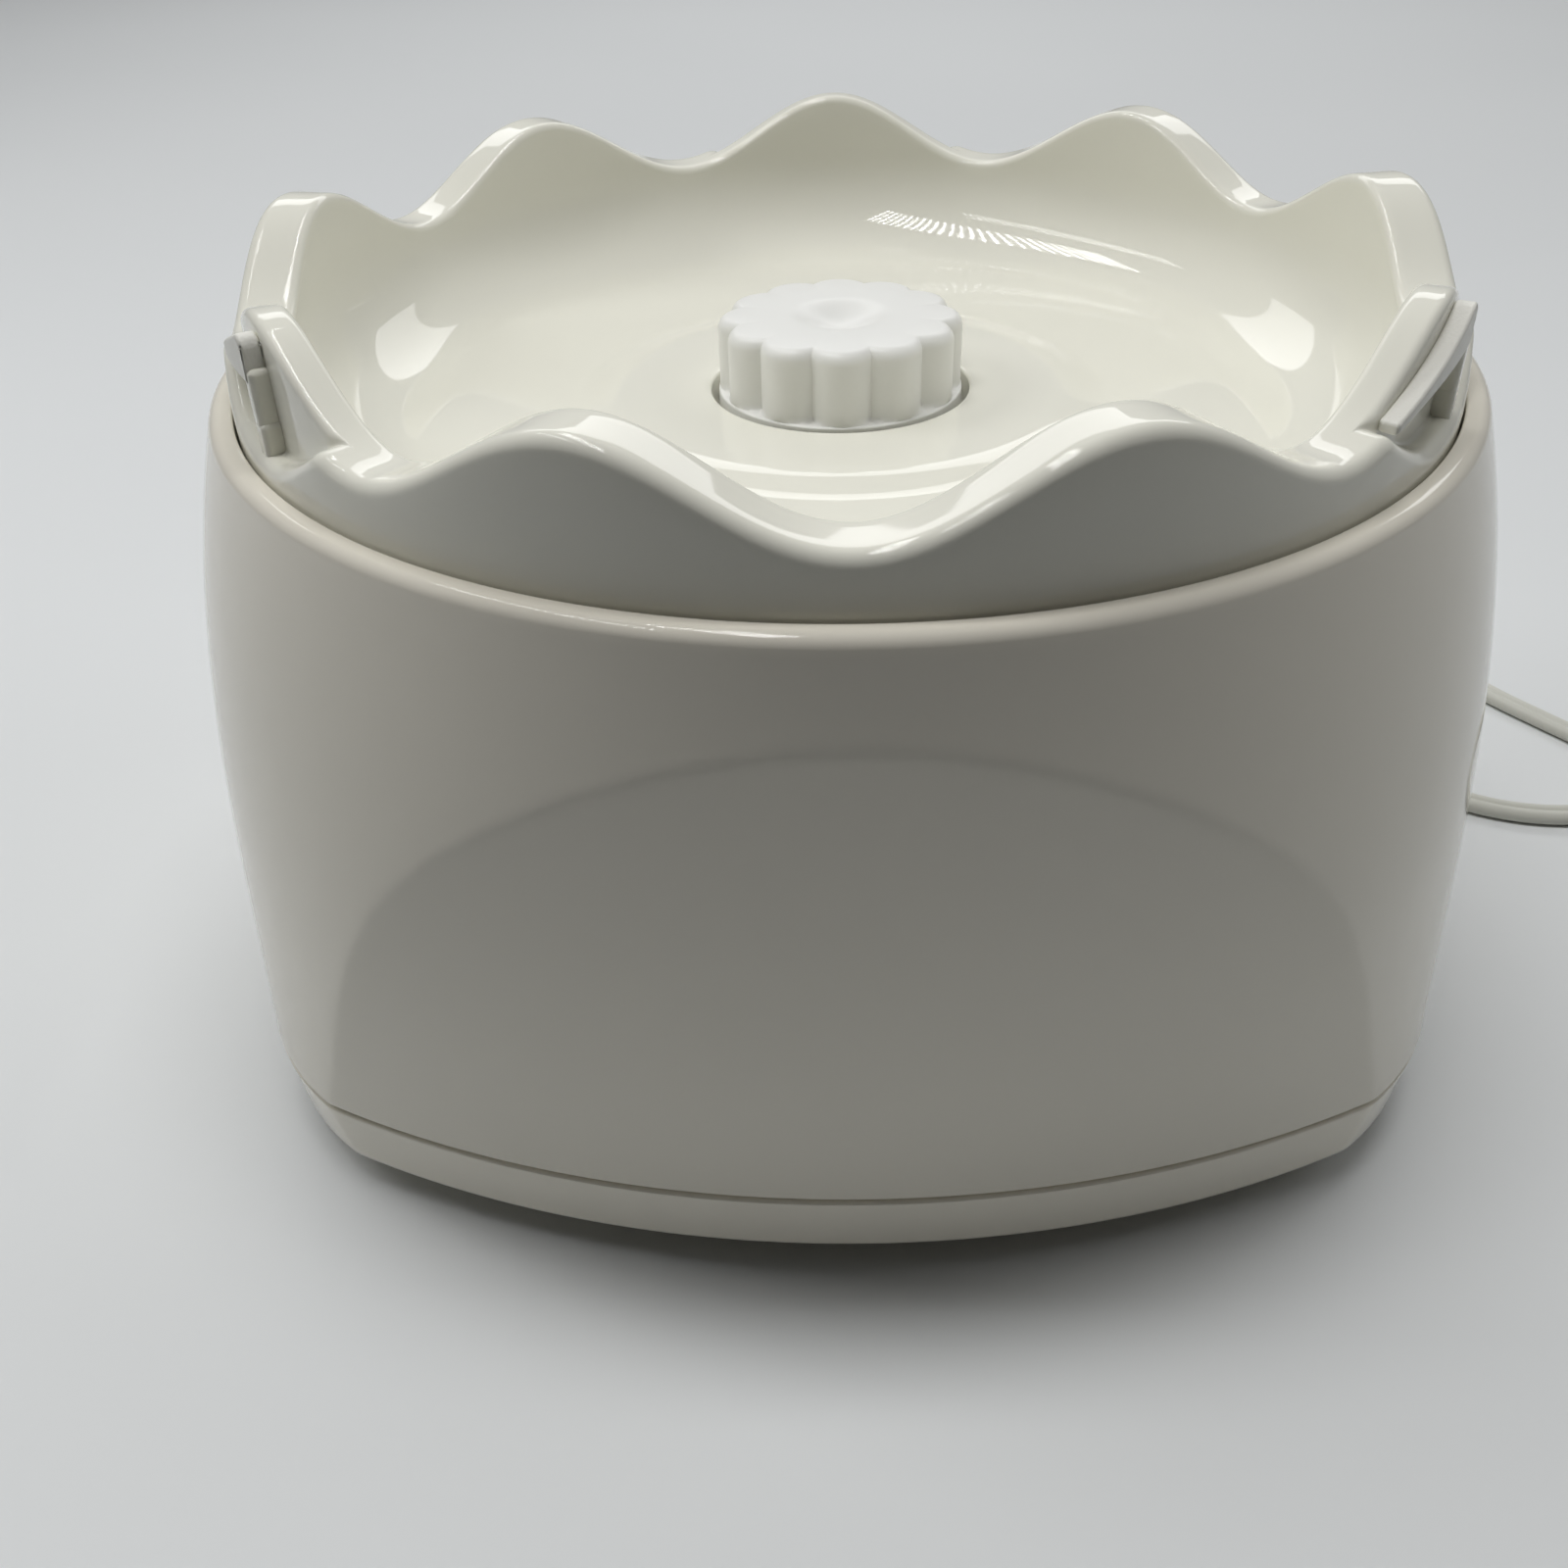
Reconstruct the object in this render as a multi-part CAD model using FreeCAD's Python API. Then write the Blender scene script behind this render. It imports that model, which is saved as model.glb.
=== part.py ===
import FreeCAD
import Part
import math
import os

# Motor base of a bowl-type frozen-dessert maker: a barrel casing, a tray with a scalloped rim and
# lid lugs, and a fluted coupling that a shaded-pole motor turns through three pairs of gears.
# Millimetres. +Z is up, the origin is on the table under the coupling's axis, -Y is the front.
# Angles given as "around" are counted from the front and grow towards +X.

V = FreeCAD.Vector
UP = V(0, 0, 1)
BACK = V(0, 1, 0)

# Heights, counted up from the table
FOOT_STANDOFF = 5.0
COVER_HEIGHT = 11.8
BODY_HEIGHT = 99.2
RIM_RISE = 19.5
WAVE_DROP = 11.5
WAVES = 9

# Casing outline at four heights above the seam: half width, half depth and corner radius
SEAM_WIDTH = 105.8
SEAM_DEPTH = 94.0
SEAM_CORNER = 52.0
BELLY_RISE = 35.7
BELLY_WIDTH = 106.8
BELLY_DEPTH = 103.0
BELLY_CORNER = 92.0
SHOULDER_RISE = 72.2
SHOULDER_WIDTH = 103.4
SHOULDER_DEPTH = 100.6
SHOULDER_CORNER = 98.0
LIP_RADIUS = 96.5
LIP_ROUND = 1.6
FRONT_TURN = 24.0
SIDE_TURN = 72.0
WALL = 2.5

# Arched facets, front and rear: parts of two wide cylinders that lean outwards
FACET_RADIUS = 186.0
FACET_DEPTH = 89.7
FACET_LEAN = 5.4

# Bottom cover
COVER_DRAFT = 1.6
COVER_FLOOR = 3.0
SEAM_GAP = 0.4
SPIGOT_RISE = 4.0
SPIGOT_WALL = 1.8
SPIGOT_CLEARANCE = 0.25
FOOT_SIDE_INSET = 39.8
FOOT_END_INSET = 42.0
FOOT_RADIUS = 9.0
FOOT_TIP_RADIUS = 8.0
FOOT_SINK = 1.5
POST_INSET = 17.8
POST_Y = 28.0
POST_RADIUS = 4.6
POST_TOP_RISE = 46.0
RIB_THICKNESS = 2.2
COVER_SCREW_RADIUS = 2.0
COVER_SCREW_LENGTH = 16.0
COVER_HEAD_RADIUS = 4.0
COVER_HEAD_HEIGHT = 2.4
SCREW_CLEARANCE = 0.25
VENT_WIDTH = 3.2
VENT_LENGTH = 30.0
VENT_PITCH = 8.0
VENT_COUNT = 7
VENT_FROM_MIDDLE = 12.0

# Tray
RIM_RADIUS = 93.0
RIM_WIDTH = 9.2
RIM_OUTER_EDGE = 2.0
RIM_INNER_EDGE = 1.3
TRAY_FIT = 0.3
TRAY_SINK = 9.0
TRAY_WALL = 2.5
LEDGE_THICKNESS = 3.0
LEDGE_INNER = 84.0
COVE_RADIUS = 16.0
FLOOR_DROP = 8.5
BOSS_RADIUS = 37.0
BOSS_RISE = 1.0
BOSS_SLOPE = 2.5
WELL_RADIUS = 20.8
WELL_DEPTH = 5.0
WELL_FLOOR = 2.5
TRAY_SCREW_RING = 87.6
TRAY_SCREW_BOSS = 3.6
TRAY_SCREW_RADIUS = 1.5
TRAY_SCREW_GRIP = 8.0
TRAY_HEAD_RADIUS = 3.0
TRAY_HEAD_HEIGHT = 2.0

# Lid lugs: three, each in a pocket cut into the outer half of a crest
LUG_AROUND = (60.0, 180.0, 300.0)
POCKET_INNER = 88.6
POCKET_FLOOR_RISE = 2.4
POCKET_HALF_FLOOR = 8.5
POCKET_SHOULDER = 16.0
POCKET_SHOULDER_RISE = 2.3
POCKET_EASE = 2.0
POCKET_EASE_RISE = 0.35
POCKET_REACH = 24.5
POCKET_LIP_RISE = 9.4
LUG_INNER = 89.2
LUG_OUTER = 92.0
LUG_LOW_END = 21.5
LUG_LOW_RISE = 9.6
LUG_HIGH_END = 4.5
LUG_HIGH_RISE = 16.8
LUG_THICKNESS = 2.8
LUG_POST = 2.6
LUG_POST_SINK = 1.0
LUG_STEP = 0.8
LUG_STEP_TOP = 7.8
LUG_STEP_FOOT = 3.1

# Drive coupling
COUPLING_RADIUS = 17.8
COUPLING_CUSP = 16.4
COUPLING_LOBES = 14
COUPLING_RISE = 15.7
COUPLING_LIFT = 1.5
COUPLING_EDGE = 1.2
COUPLING_FLANGE = 19.6
COUPLING_FLANGE_HEIGHT = 2.6
DIMPLE_RADIUS = 7.2
DIMPLE_DEPTH = 1.5
COUPLING_CAP = 5.0

# Output shaft and its bushes
SHAFT_RADIUS = 4.0
SHAFT_FLAT = 3.0
BUSH_WALL = 2.5
BUSH_FLANGE = 9.0
BUSH_FLANGE_HEIGHT = 1.0
RUNNING = 0.05
CIRCLIP_RADIUS = 6.6
CIRCLIP_SEAT = 3.4
CIRCLIP_THICKNESS = 1.0
CIRCLIP_LIFT = 0.15
CIRCLIP_HALF_GAP = 1.2
SEAL_RADIUS = 9.0
SEAL_HEIGHT = 3.6

# Gears: three pairs, each a 12-tooth pinion and a wheel
PRESSURE = 25.0
BACKLASH = 0.15
PINION_TEETH = 12
FIRST_TEETH = 60
FIRST_MODULE = 0.8
SECOND_TEETH = 48
SECOND_MODULE = 1.0
OUTPUT_TEETH = 48
OUTPUT_MODULE = 1.25
OUTPUT_FACE = 7.0
SECOND_FACE = 4.5
FIRST_FACE = 4.5
OUTPUT_HEADROOM = 2.0
SECOND_DROP = 2.5
FIRST_DROP = 2.0
FIRST_FOOTROOM = 1.5
PINION_OVERLAP = 0.6
HUB_RADIUS = 4.4
END_PLAY = 0.3
PIN_RADIUS = 2.5
FIRST_DIRECTION = -20.0

# Gearbox
PLATE_GAP = 3.0
PLATE_THICKNESS = 3.0
HOUSING_FLOOR = 3.0
HOUSING_WALL = 2.5
HOUSING_CORNER = 12.0
GEAR_ROOM = 3.5
HANGER_RADIUS = 4.6
HANGER_INSET = 5.0
HANGER_REAR_X = 28.0
HANGER_BITE = 1.6
GEARBOX_SCREW_RADIUS = 1.8
GEARBOX_SCREW_GRIP = 6.0
GEARBOX_HEAD_RADIUS = 3.4
GEARBOX_HEAD_HEIGHT = 2.2
MOTOR_HOLE = 6.0

# Motor
MOTOR_DROP = 9.0
STACK_HEIGHT = 18.0
STACK_HALF_WIDTH = 21.0
STACK_REAR = 20.0
ROTOR_RADIUS = 12.4
ROTOR_GAP = 0.5
ROTOR_OVERHANG = 1.0
YOKE_WALL = 4.1
WINDOW_HALF_WIDTH = 14.0
WINDOW_DEPTH = 13.0
LEG_DEPTH = 12.0
BOBBIN_PLAY = 0.3
BOBBIN_WALL = 1.0
BOBBIN_FLANGE = 1.5
BOBBIN_RISE = 7.4
WINDING_SETBACK = 1.6
WINDING_ROUND = 4.0
MOTOR_SHAFT_RADIUS = 2.5
MOTOR_SHAFT_TAIL = 18.0
BRACKET_HALF_WIDTH = 6.0
BRACKET_OUTER = 20.0
BRACKET_STRAP = 2.0
BRACKET_RISE = 6.5
MOTOR_BUSH_RADIUS = 5.0
MOTOR_BUSH_LENGTH = 4.0
MOTOR_SCREW_X = 16.0
MOTOR_SCREW_Y = 15.0
MOTOR_SCREW_RADIUS = 2.0
MOTOR_BOSS_RADIUS = 4.6
MOTOR_HEAD_RADIUS = 3.6
MOTOR_HEAD_HEIGHT = 2.5
FAN_HUB = 6.0
FAN_RADIUS = 26.0
FAN_HEIGHT = 7.0
FAN_BLADES = 7
FAN_BLADE_THICKNESS = 1.6
FAN_GAP = 2.0

# Rotary switch in a round recess of the rear facet
SWITCH_HEIGHT = 46.0
RECESS_RADIUS = 19.0
RECESS_DEPTH = 5.0
KNOB_RADIUS = 16.5
KNOB_LIFT = 0.5
KNOB_DISC = 5.5
KNOB_PROUD = 5.4
GRIP_WIDTH = 8.0
KNOB_HOLLOW = 10.5
KNOB_HOLLOW_DEPTH = 3.6
SPINDLE_RADIUS = 3.0
SPINDLE_PROUD = 2.0
SPINDLE_DEPTH = 11.2
GRIP_INSET = 0.6
SWITCH_NECK = 5.0
SWITCH_NECK_PROUD = 3.2
NUT_CORNERS = 8.5
NUT_HEIGHT = 2.6
SWITCH_WIDTH = 24.0
SWITCH_TALL = 20.0
SWITCH_LENGTH = 16.0

# Mains cord: boot, free stretch, tied coil and two-blade plug
CORD_DIAMETER = 5.2
CORD_REST = 2.7
EXIT_X = 40.0
EXIT_HEIGHT = 31.0
BOOT_RADIUS = 5.4
BOOT_FLANGE = 7.6
BOOT_FLANGE_HEIGHT = 3.6
BOOT_TIP = 3.6
BOOT_END = 113.0
BOOT_INSIDE = 76.0
COIL_X = -15.0
COIL_Y = 160.0
COIL_RADIUS = 34.5
COIL_TURNS = 3.0
COIL_SPACE = 0.8
COIL_LAYER_SPACE = 0.6
COIL_REST = 3.7
COIL_LEAD_IN = 6.0
COIL_RUN_IN = 20.0
COIL_TAIL = 26.0
TIE_AROUND_COIL = 45.0
TIE_WIDTH = 10.0
TIE_THICKNESS = 0.8
TIE_EASE = 0.8
PLUG_LENGTH = 30.0
PLUG_WIDTH = 26.0
PLUG_BACK_WIDTH = 13.0
PLUG_BACK_HEIGHT = 11.0
PLUG_ROUND = 2.4
PLUG_TAPER = 13.5
BLADE_LENGTH = 17.5
BLADE_SPACING = 12.7
BLADE_THICKNESS = 1.5
BLADE_WIDTH = 6.3

# Places that follow from the outline
FOOT_X = SEAM_WIDTH - FOOT_SIDE_INSET
FOOT_Y = SEAM_DEPTH - FOOT_END_INSET
POST_X = SEAM_WIDTH - POST_INSET

# Heights that follow
EDGE_Z = FOOT_STANDOFF
SEAM_Z = EDGE_Z + COVER_HEIGHT
LIP_Z = SEAM_Z + BODY_HEIGHT
CREST_Z = LIP_Z + RIM_RISE
VALLEY_Z = CREST_Z - WAVE_DROP
LEDGE_Z = LIP_Z - TRAY_SINK
LEDGE_LOW = LEDGE_Z - LEDGE_THICKNESS
FLOOR_Z = LIP_Z - FLOOR_DROP
BOSS_Z = FLOOR_Z + BOSS_RISE
WELL_Z = BOSS_Z - WELL_DEPTH
WELL_LOW = WELL_Z - WELL_FLOOR
COUPLING_TOP = CREST_Z - COUPLING_RISE
COUPLING_LOW = WELL_Z + COUPLING_LIFT
PLATE_TOP = WELL_LOW - PLATE_GAP
PLATE_LOW = PLATE_TOP - PLATE_THICKNESS
OUTPUT_TOP = PLATE_LOW - OUTPUT_HEADROOM
OUTPUT_LOW = OUTPUT_TOP - OUTPUT_FACE
SECOND_TOP = OUTPUT_LOW - SECOND_DROP
SECOND_LOW = SECOND_TOP - SECOND_FACE
FIRST_TOP = SECOND_LOW - FIRST_DROP
FIRST_LOW = FIRST_TOP - FIRST_FACE
HOUSING_TOP_OF_FLOOR = FIRST_LOW - FIRST_FOOTROOM
HOUSING_LOW = HOUSING_TOP_OF_FLOOR - HOUSING_FLOOR
STACK_TOP = HOUSING_LOW - MOTOR_DROP
STACK_LOW = STACK_TOP - STACK_HEIGHT

# Gear axes that follow
OUTPUT_SPAN = OUTPUT_MODULE * (PINION_TEETH + OUTPUT_TEETH) / 2
SECOND_SPAN = SECOND_MODULE * (PINION_TEETH + SECOND_TEETH) / 2
FIRST_SPAN = FIRST_MODULE * (PINION_TEETH + FIRST_TEETH) / 2
SECOND_X = 0.0
SECOND_Y = OUTPUT_SPAN
FIRST_X = SECOND_X + SECOND_SPAN * math.cos(math.radians(FIRST_DIRECTION))
FIRST_Y = SECOND_Y + SECOND_SPAN * math.sin(math.radians(FIRST_DIRECTION))
MOTOR_X = FIRST_X
MOTOR_Y = FIRST_Y - FIRST_SPAN

nodes = {}


def cyl(radius, low, high, x=0.0, y=0.0):
    return Part.makeCylinder(radius, high - low, V(x, y, low), UP)


def cyl_back(radius, front, rear, x, z):
    return Part.makeCylinder(radius, rear - front, V(x, front, z), BACK)


def ring(outer, inner, low, high, x=0.0, y=0.0):
    return cyl(outer, low, high, x, y).cut(cyl(inner, low - 1, high + 1, x, y))


def box(x0, x1, y0, y1, z0, z1):
    return Part.makeBox(x1 - x0, y1 - y0, z1 - z0, V(x0, y0, z0))


def fuse(shapes):
    whole = shapes[0]
    if len(shapes) > 1:
        whole = whole.multiFuse(shapes[1:])
    return whole.removeSplitter()


def around(degrees):
    angle = math.radians(degrees)
    return V(math.sin(angle), -math.cos(angle), 0)


def turned(shape, degrees):
    copy = shape.copy()
    copy.rotate(V(0, 0, 0), UP, degrees)
    return copy


def line(a, b):
    return Part.LineSegment(a, b).toShape()


def arc(a, middle, b):
    return Part.Arc(a, middle, b).toShape()


def add(name, shape):
    """Keep one finished piece under its name, as a single solid or a group of them."""
    solids = shape.Solids
    nodes[name] = solids[0] if len(solids) == 1 else Part.makeCompound(solids)


# Casing


def plan(half_width, half_depth, corner, z):
    """Closed outline of eight tangent arcs: broad front and rear, round sides, tighter corners."""
    beta = math.radians(FRONT_TURN)
    alpha = math.radians(SIDE_TURN)
    t = math.tan(beta / 2)
    side = half_depth - corner - (half_width - corner * math.sin(alpha)) * t + corner * math.cos(alpha)
    side = side / (math.cos(alpha) - (1 - math.sin(alpha)) * t)
    corner_x = half_width - corner * math.sin(alpha) - side * (1 - math.sin(alpha))
    corner_y = (side - corner) * math.cos(alpha)
    front = corner + corner_x / math.sin(beta)
    front_y = corner_y - (front - corner) * math.cos(beta)

    def swing(x, y, radius, first, last):
        at = []
        for angle in (first, (first + last) / 2, last):
            at.append(V(x + radius * math.sin(angle), y + radius * math.cos(angle), z))
        return arc(at[0], at[1], at[2])

    half = math.pi
    edges = []
    edges.append(swing(0, front_y, front, -beta, beta))
    edges.append(swing(corner_x, corner_y, corner, beta, alpha))
    edges.append(swing(half_width - side, 0, side, alpha, half - alpha))
    edges.append(swing(corner_x, -corner_y, corner, half - alpha, half - beta))
    edges.append(swing(0, -front_y, front, half - beta, half + beta))
    edges.append(swing(-corner_x, -corner_y, corner, half + beta, half + alpha))
    edges.append(swing(side - half_width, 0, side, half + alpha, 2 * half - alpha))
    edges.append(swing(-corner_x, corner_y, corner, 2 * half - alpha, 2 * half - beta))
    return Part.Wire(edges)


def barrel(inset):
    """The casing's round form, set in by a wall thickness when the inside is wanted."""
    stations = [
        (0.0, SEAM_WIDTH, SEAM_DEPTH, SEAM_CORNER),
        (BELLY_RISE, BELLY_WIDTH, BELLY_DEPTH, BELLY_CORNER),
        (SHOULDER_RISE, SHOULDER_WIDTH, SHOULDER_DEPTH, SHOULDER_CORNER),
        (BODY_HEIGHT, LIP_RADIUS, LIP_RADIUS, LIP_RADIUS),
    ]
    wires = []
    for rise, width, depth, corner in stations:
        wires.append(plan(width - inset, depth - inset, corner - inset, SEAM_Z + rise))
    return Part.makeLoft(wires, True, False)


def facets(inset):
    """The room between the front and the rear facet."""
    lean = math.radians(FACET_LEAN)
    reach = FACET_RADIUS - FACET_DEPTH
    length = 4 * BODY_HEIGHT
    room = []
    for side in (1, -1):
        along = V(0, -side * math.sin(lean), math.cos(lean))
        base = V(0, side * reach, SEAM_Z) - along * (length / 2)
        room.append(Part.makeCylinder(FACET_RADIUS - inset, length, base, along))
    return room[0].common(room[1])


def facet_y(x, z):
    """Depth of the rear facet's outer face at a place on it."""
    lean = math.tan(math.radians(FACET_LEAN))
    middle = FACET_DEPTH + (z - SEAM_Z) * lean
    return middle - FACET_RADIUS + math.sqrt(FACET_RADIUS ** 2 - x ** 2)


SWITCH_FACE = facet_y(0, SWITCH_HEIGHT) - RECESS_DEPTH
SWITCH_BACK = SWITCH_FACE - WALL
POSTS = [(sx * POST_X, sy * POST_Y) for sx in (1, -1) for sy in (1, -1)]
TRAY_SCREW_AROUND = (45.0, 135.0, 225.0, 315.0)

outside = barrel(0).common(facets(0))
inside = barrel(WALL).common(facets(WALL))
inside = inside.common(box(-200, 200, -200, 200, 0, LEDGE_LOW))
shell = outside.cut(inside)
shell = shell.cut(cyl(LEDGE_INNER, LEDGE_LOW - 1, LEDGE_Z + 1))
shell = shell.cut(cyl(RIM_RADIUS + TRAY_FIT, LEDGE_Z, LIP_Z + 1))

posts = []
for x, y in POSTS:
    foot_z = EDGE_Z + COVER_FLOOR
    top_z = SEAM_Z + POST_TOP_RISE
    posts.append(cyl(POST_RADIUS, foot_z, top_z, x, y))
    side = 1 if x > 0 else -1
    wide = sorted((x, x + side * 40))
    half = RIB_THICKNESS / 2
    rib = box(wide[0], wide[1], y - half, y + half, SEAM_Z + SPIGOT_RISE + 2, top_z)
    posts.append(rib.common(outside))
recess_wall = cyl_back(RECESS_RADIUS + WALL, SWITCH_BACK, SWITCH_FACE + 40, 0, SWITCH_HEIGHT)
shell = fuse([shell, recess_wall.common(outside)] + posts)
shell = shell.cut(cyl_back(RECESS_RADIUS, SWITCH_FACE, SWITCH_FACE + 60, 0, SWITCH_HEIGHT))
shell = shell.cut(cyl_back(SWITCH_NECK, SWITCH_BACK - 5, SWITCH_FACE + 5, 0, SWITCH_HEIGHT))
shell = shell.cut(cyl_back(BOOT_RADIUS, BOOT_INSIDE, BOOT_END, EXIT_X, EXIT_HEIGHT))
for x, y in POSTS:
    shell = shell.cut(cyl(COVER_SCREW_RADIUS, 0, EDGE_Z + COVER_FLOOR + COVER_SCREW_LENGTH, x, y))
for degrees in TRAY_SCREW_AROUND:
    at = around(degrees) * TRAY_SCREW_RING
    shell = shell.cut(cyl(TRAY_SCREW_RADIUS + SCREW_CLEARANCE, LEDGE_LOW - 1, LEDGE_Z + 1, at.x, at.y))
lip_edges = []
for edge in shell.Edges:
    level = edge.BoundBox
    if level.ZMin > LIP_Z - 0.01 and level.ZMax < LIP_Z + 0.01:
        if edge.Vertexes[0].Point.sub(V(0, 0, LIP_Z)).Length > LIP_RADIUS - 0.5:
            lip_edges.append(edge)
shell = shell.makeFillet(LIP_ROUND, lip_edges)
add("body_shell", shell)


# Bottom cover with feet and screws

cover_wall = WALL + SPIGOT_CLEARANCE + SPIGOT_WALL
low_plan = plan(SEAM_WIDTH - COVER_DRAFT, SEAM_DEPTH - COVER_DRAFT, SEAM_CORNER - COVER_DRAFT, EDGE_Z)
high_plan = plan(SEAM_WIDTH, SEAM_DEPTH, SEAM_CORNER, SEAM_Z)
cover = Part.makeLoft([low_plan, high_plan], True, True).common(facets(0))
cover = cover.common(box(-200, 200, -200, 200, 0, SEAM_Z - SEAM_GAP))
spigot_inset = WALL + SPIGOT_CLEARANCE
spigot_top = SEAM_Z + SPIGOT_RISE
spigot_plan = plan(SEAM_WIDTH - spigot_inset, SEAM_DEPTH - spigot_inset, SEAM_CORNER - spigot_inset, 0)
spigot = Part.Face(spigot_plan).extrude(V(0, 0, spigot_top))
spigot = spigot.common(facets(spigot_inset)).common(box(-200, 200, -200, 200, SEAM_Z - 3, spigot_top))
cover = fuse([cover, spigot])
hollow_inset = cover_wall + COVER_DRAFT
hollow_plan = plan(SEAM_WIDTH - hollow_inset, SEAM_DEPTH - hollow_inset, SEAM_CORNER - hollow_inset, 0)
hollow = Part.Face(hollow_plan).extrude(V(0, 0, spigot_top + 1)).common(facets(hollow_inset))
cover = cover.cut(hollow.common(box(-200, 200, -200, 200, EDGE_Z + COVER_FLOOR, spigot_top + 1)))
feet = []
for x in (-FOOT_X, FOOT_X):
    for y in (-FOOT_Y, FOOT_Y):
        cover = cover.cut(cyl(FOOT_RADIUS, 0, EDGE_Z + FOOT_SINK, x, y))
        pad = cyl(FOOT_RADIUS, EDGE_Z, EDGE_Z + FOOT_SINK, x, y)
        taper = Part.makeCone(FOOT_TIP_RADIUS, FOOT_RADIUS, EDGE_Z, V(x, y, 0), UP)
        side = "left" if x < 0 else "right"
        end = "front" if y < 0 else "rear"
        add("foot_" + end + "_" + side, fuse([pad, taper]))
cover_screws = []
for x, y in POSTS:
    cover = cover.cut(cyl(COVER_SCREW_RADIUS + SCREW_CLEARANCE, 0, EDGE_Z + COVER_FLOOR + 1, x, y))
    head = cyl(COVER_HEAD_RADIUS, EDGE_Z - COVER_HEAD_HEIGHT, EDGE_Z, x, y)
    shank = cyl(COVER_SCREW_RADIUS, EDGE_Z, EDGE_Z + COVER_FLOOR + COVER_SCREW_LENGTH, x, y)
    cover_screws.append(fuse([head, shank]))
vents = []
for i in range(VENT_COUNT):
    x = (i - (VENT_COUNT - 1) / 2) * VENT_PITCH
    for near in (VENT_FROM_MIDDLE, -VENT_FROM_MIDDLE - VENT_LENGTH):
        vents.append(box(x - VENT_WIDTH / 2, x + VENT_WIDTH / 2, near, near + VENT_LENGTH, 0, EDGE_Z + 5))
cover = cover.cut(Part.makeCompound(vents))
add("bottom_cover", cover)
add("cover_screws", Part.makeCompound(cover_screws))


# Bowl tray: dished floor, well for the coupling, waved rim, pockets with lid lugs

GEARBOX_LEFT = -(OUTPUT_MODULE * (OUTPUT_TEETH + 2) / 2 + GEAR_ROOM)
GEARBOX_FRONT = GEARBOX_LEFT
GEARBOX_RIGHT = FIRST_X + FIRST_MODULE * (FIRST_TEETH + 2) / 2 + GEAR_ROOM
GEARBOX_REAR = SECOND_Y + SECOND_MODULE * (SECOND_TEETH + 2) / 2 + GEAR_ROOM
HANGERS = [
    (GEARBOX_LEFT + HANGER_INSET, GEARBOX_FRONT + HANGER_INSET),
    (GEARBOX_RIGHT - HANGER_INSET, GEARBOX_FRONT + HANGER_INSET),
    (GEARBOX_LEFT + HANGER_INSET, GEARBOX_REAR - HANGER_INSET),
    (HANGER_REAR_X, GEARBOX_REAR - HANGER_INSET),
]

rim_inner = RIM_RADIUS - RIM_WIDTH
cove_r = rim_inner - COVE_RADIUS
cove_z = FLOOR_Z + COVE_RADIUS
under = COVE_RADIUS + TRAY_WALL
floor_low = FLOOR_Z - TRAY_WALL
channel_top = LIP_Z + POCKET_FLOOR_RISE - TRAY_WALL
channel_r = cove_r + math.sqrt(under ** 2 - (cove_z - channel_top) ** 2)
diagonal = math.sqrt(0.5)
under_turn = (math.pi / 2 + math.asin((cove_z - channel_top) / under)) / 2
cove_middle = V(cove_r + COVE_RADIUS * diagonal, 0, cove_z - COVE_RADIUS * diagonal)
under_middle = V(cove_r + under * math.cos(under_turn), 0, cove_z - under * math.sin(under_turn))

profile = []
stops = [
    V(SEAL_RADIUS, 0, WELL_LOW),
    V(SEAL_RADIUS, 0, WELL_Z),
    V(WELL_RADIUS, 0, WELL_Z),
    V(WELL_RADIUS, 0, BOSS_Z),
    V(BOSS_RADIUS, 0, BOSS_Z),
    V(BOSS_RADIUS + BOSS_SLOPE, 0, FLOOR_Z),
    V(cove_r, 0, FLOOR_Z),
]
for a, b in zip(stops, stops[1:]):
    profile.append(line(a, b))
profile.append(arc(stops[-1], cove_middle, V(rim_inner, 0, cove_z)))
stops = [
    V(rim_inner, 0, cove_z),
    V(rim_inner, 0, CREST_Z + 5),
    V(RIM_RADIUS, 0, CREST_Z + 5),
    V(RIM_RADIUS, 0, LEDGE_Z),
    V(RIM_RADIUS - TRAY_WALL, 0, LEDGE_Z),
    V(RIM_RADIUS - TRAY_WALL, 0, channel_top),
    V(channel_r, 0, channel_top),
]
for a, b in zip(stops, stops[1:]):
    profile.append(line(a, b))
profile.append(arc(stops[-1], under_middle, V(cove_r, 0, floor_low)))
stops = [
    V(cove_r, 0, floor_low),
    V(WELL_RADIUS + TRAY_WALL, 0, floor_low),
    V(WELL_RADIUS + TRAY_WALL, 0, WELL_LOW),
    V(SEAL_RADIUS, 0, WELL_LOW),
]
for a, b in zip(stops, stops[1:]):
    profile.append(line(a, b))
tray = Part.Face(Part.Wire(profile)).revolve(V(0, 0, 0), UP, 360)


def wave(degrees):
    """Height of the rim's top: a valley at the front, a crest half a wave further round."""
    middle = (CREST_Z + VALLEY_Z) / 2
    return middle - WAVE_DROP / 2 * math.cos(math.radians(WAVES * degrees))


def wave_curve(radius):
    points = []
    steps = WAVES * 12
    for i in range(steps):
        degrees = 360.0 * i / steps
        points.append(around(degrees) * radius + V(0, 0, wave(degrees)))
    curve = Part.BSplineCurve()
    curve.interpolate(points, PeriodicFlag=True)
    return curve.toShape()


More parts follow.
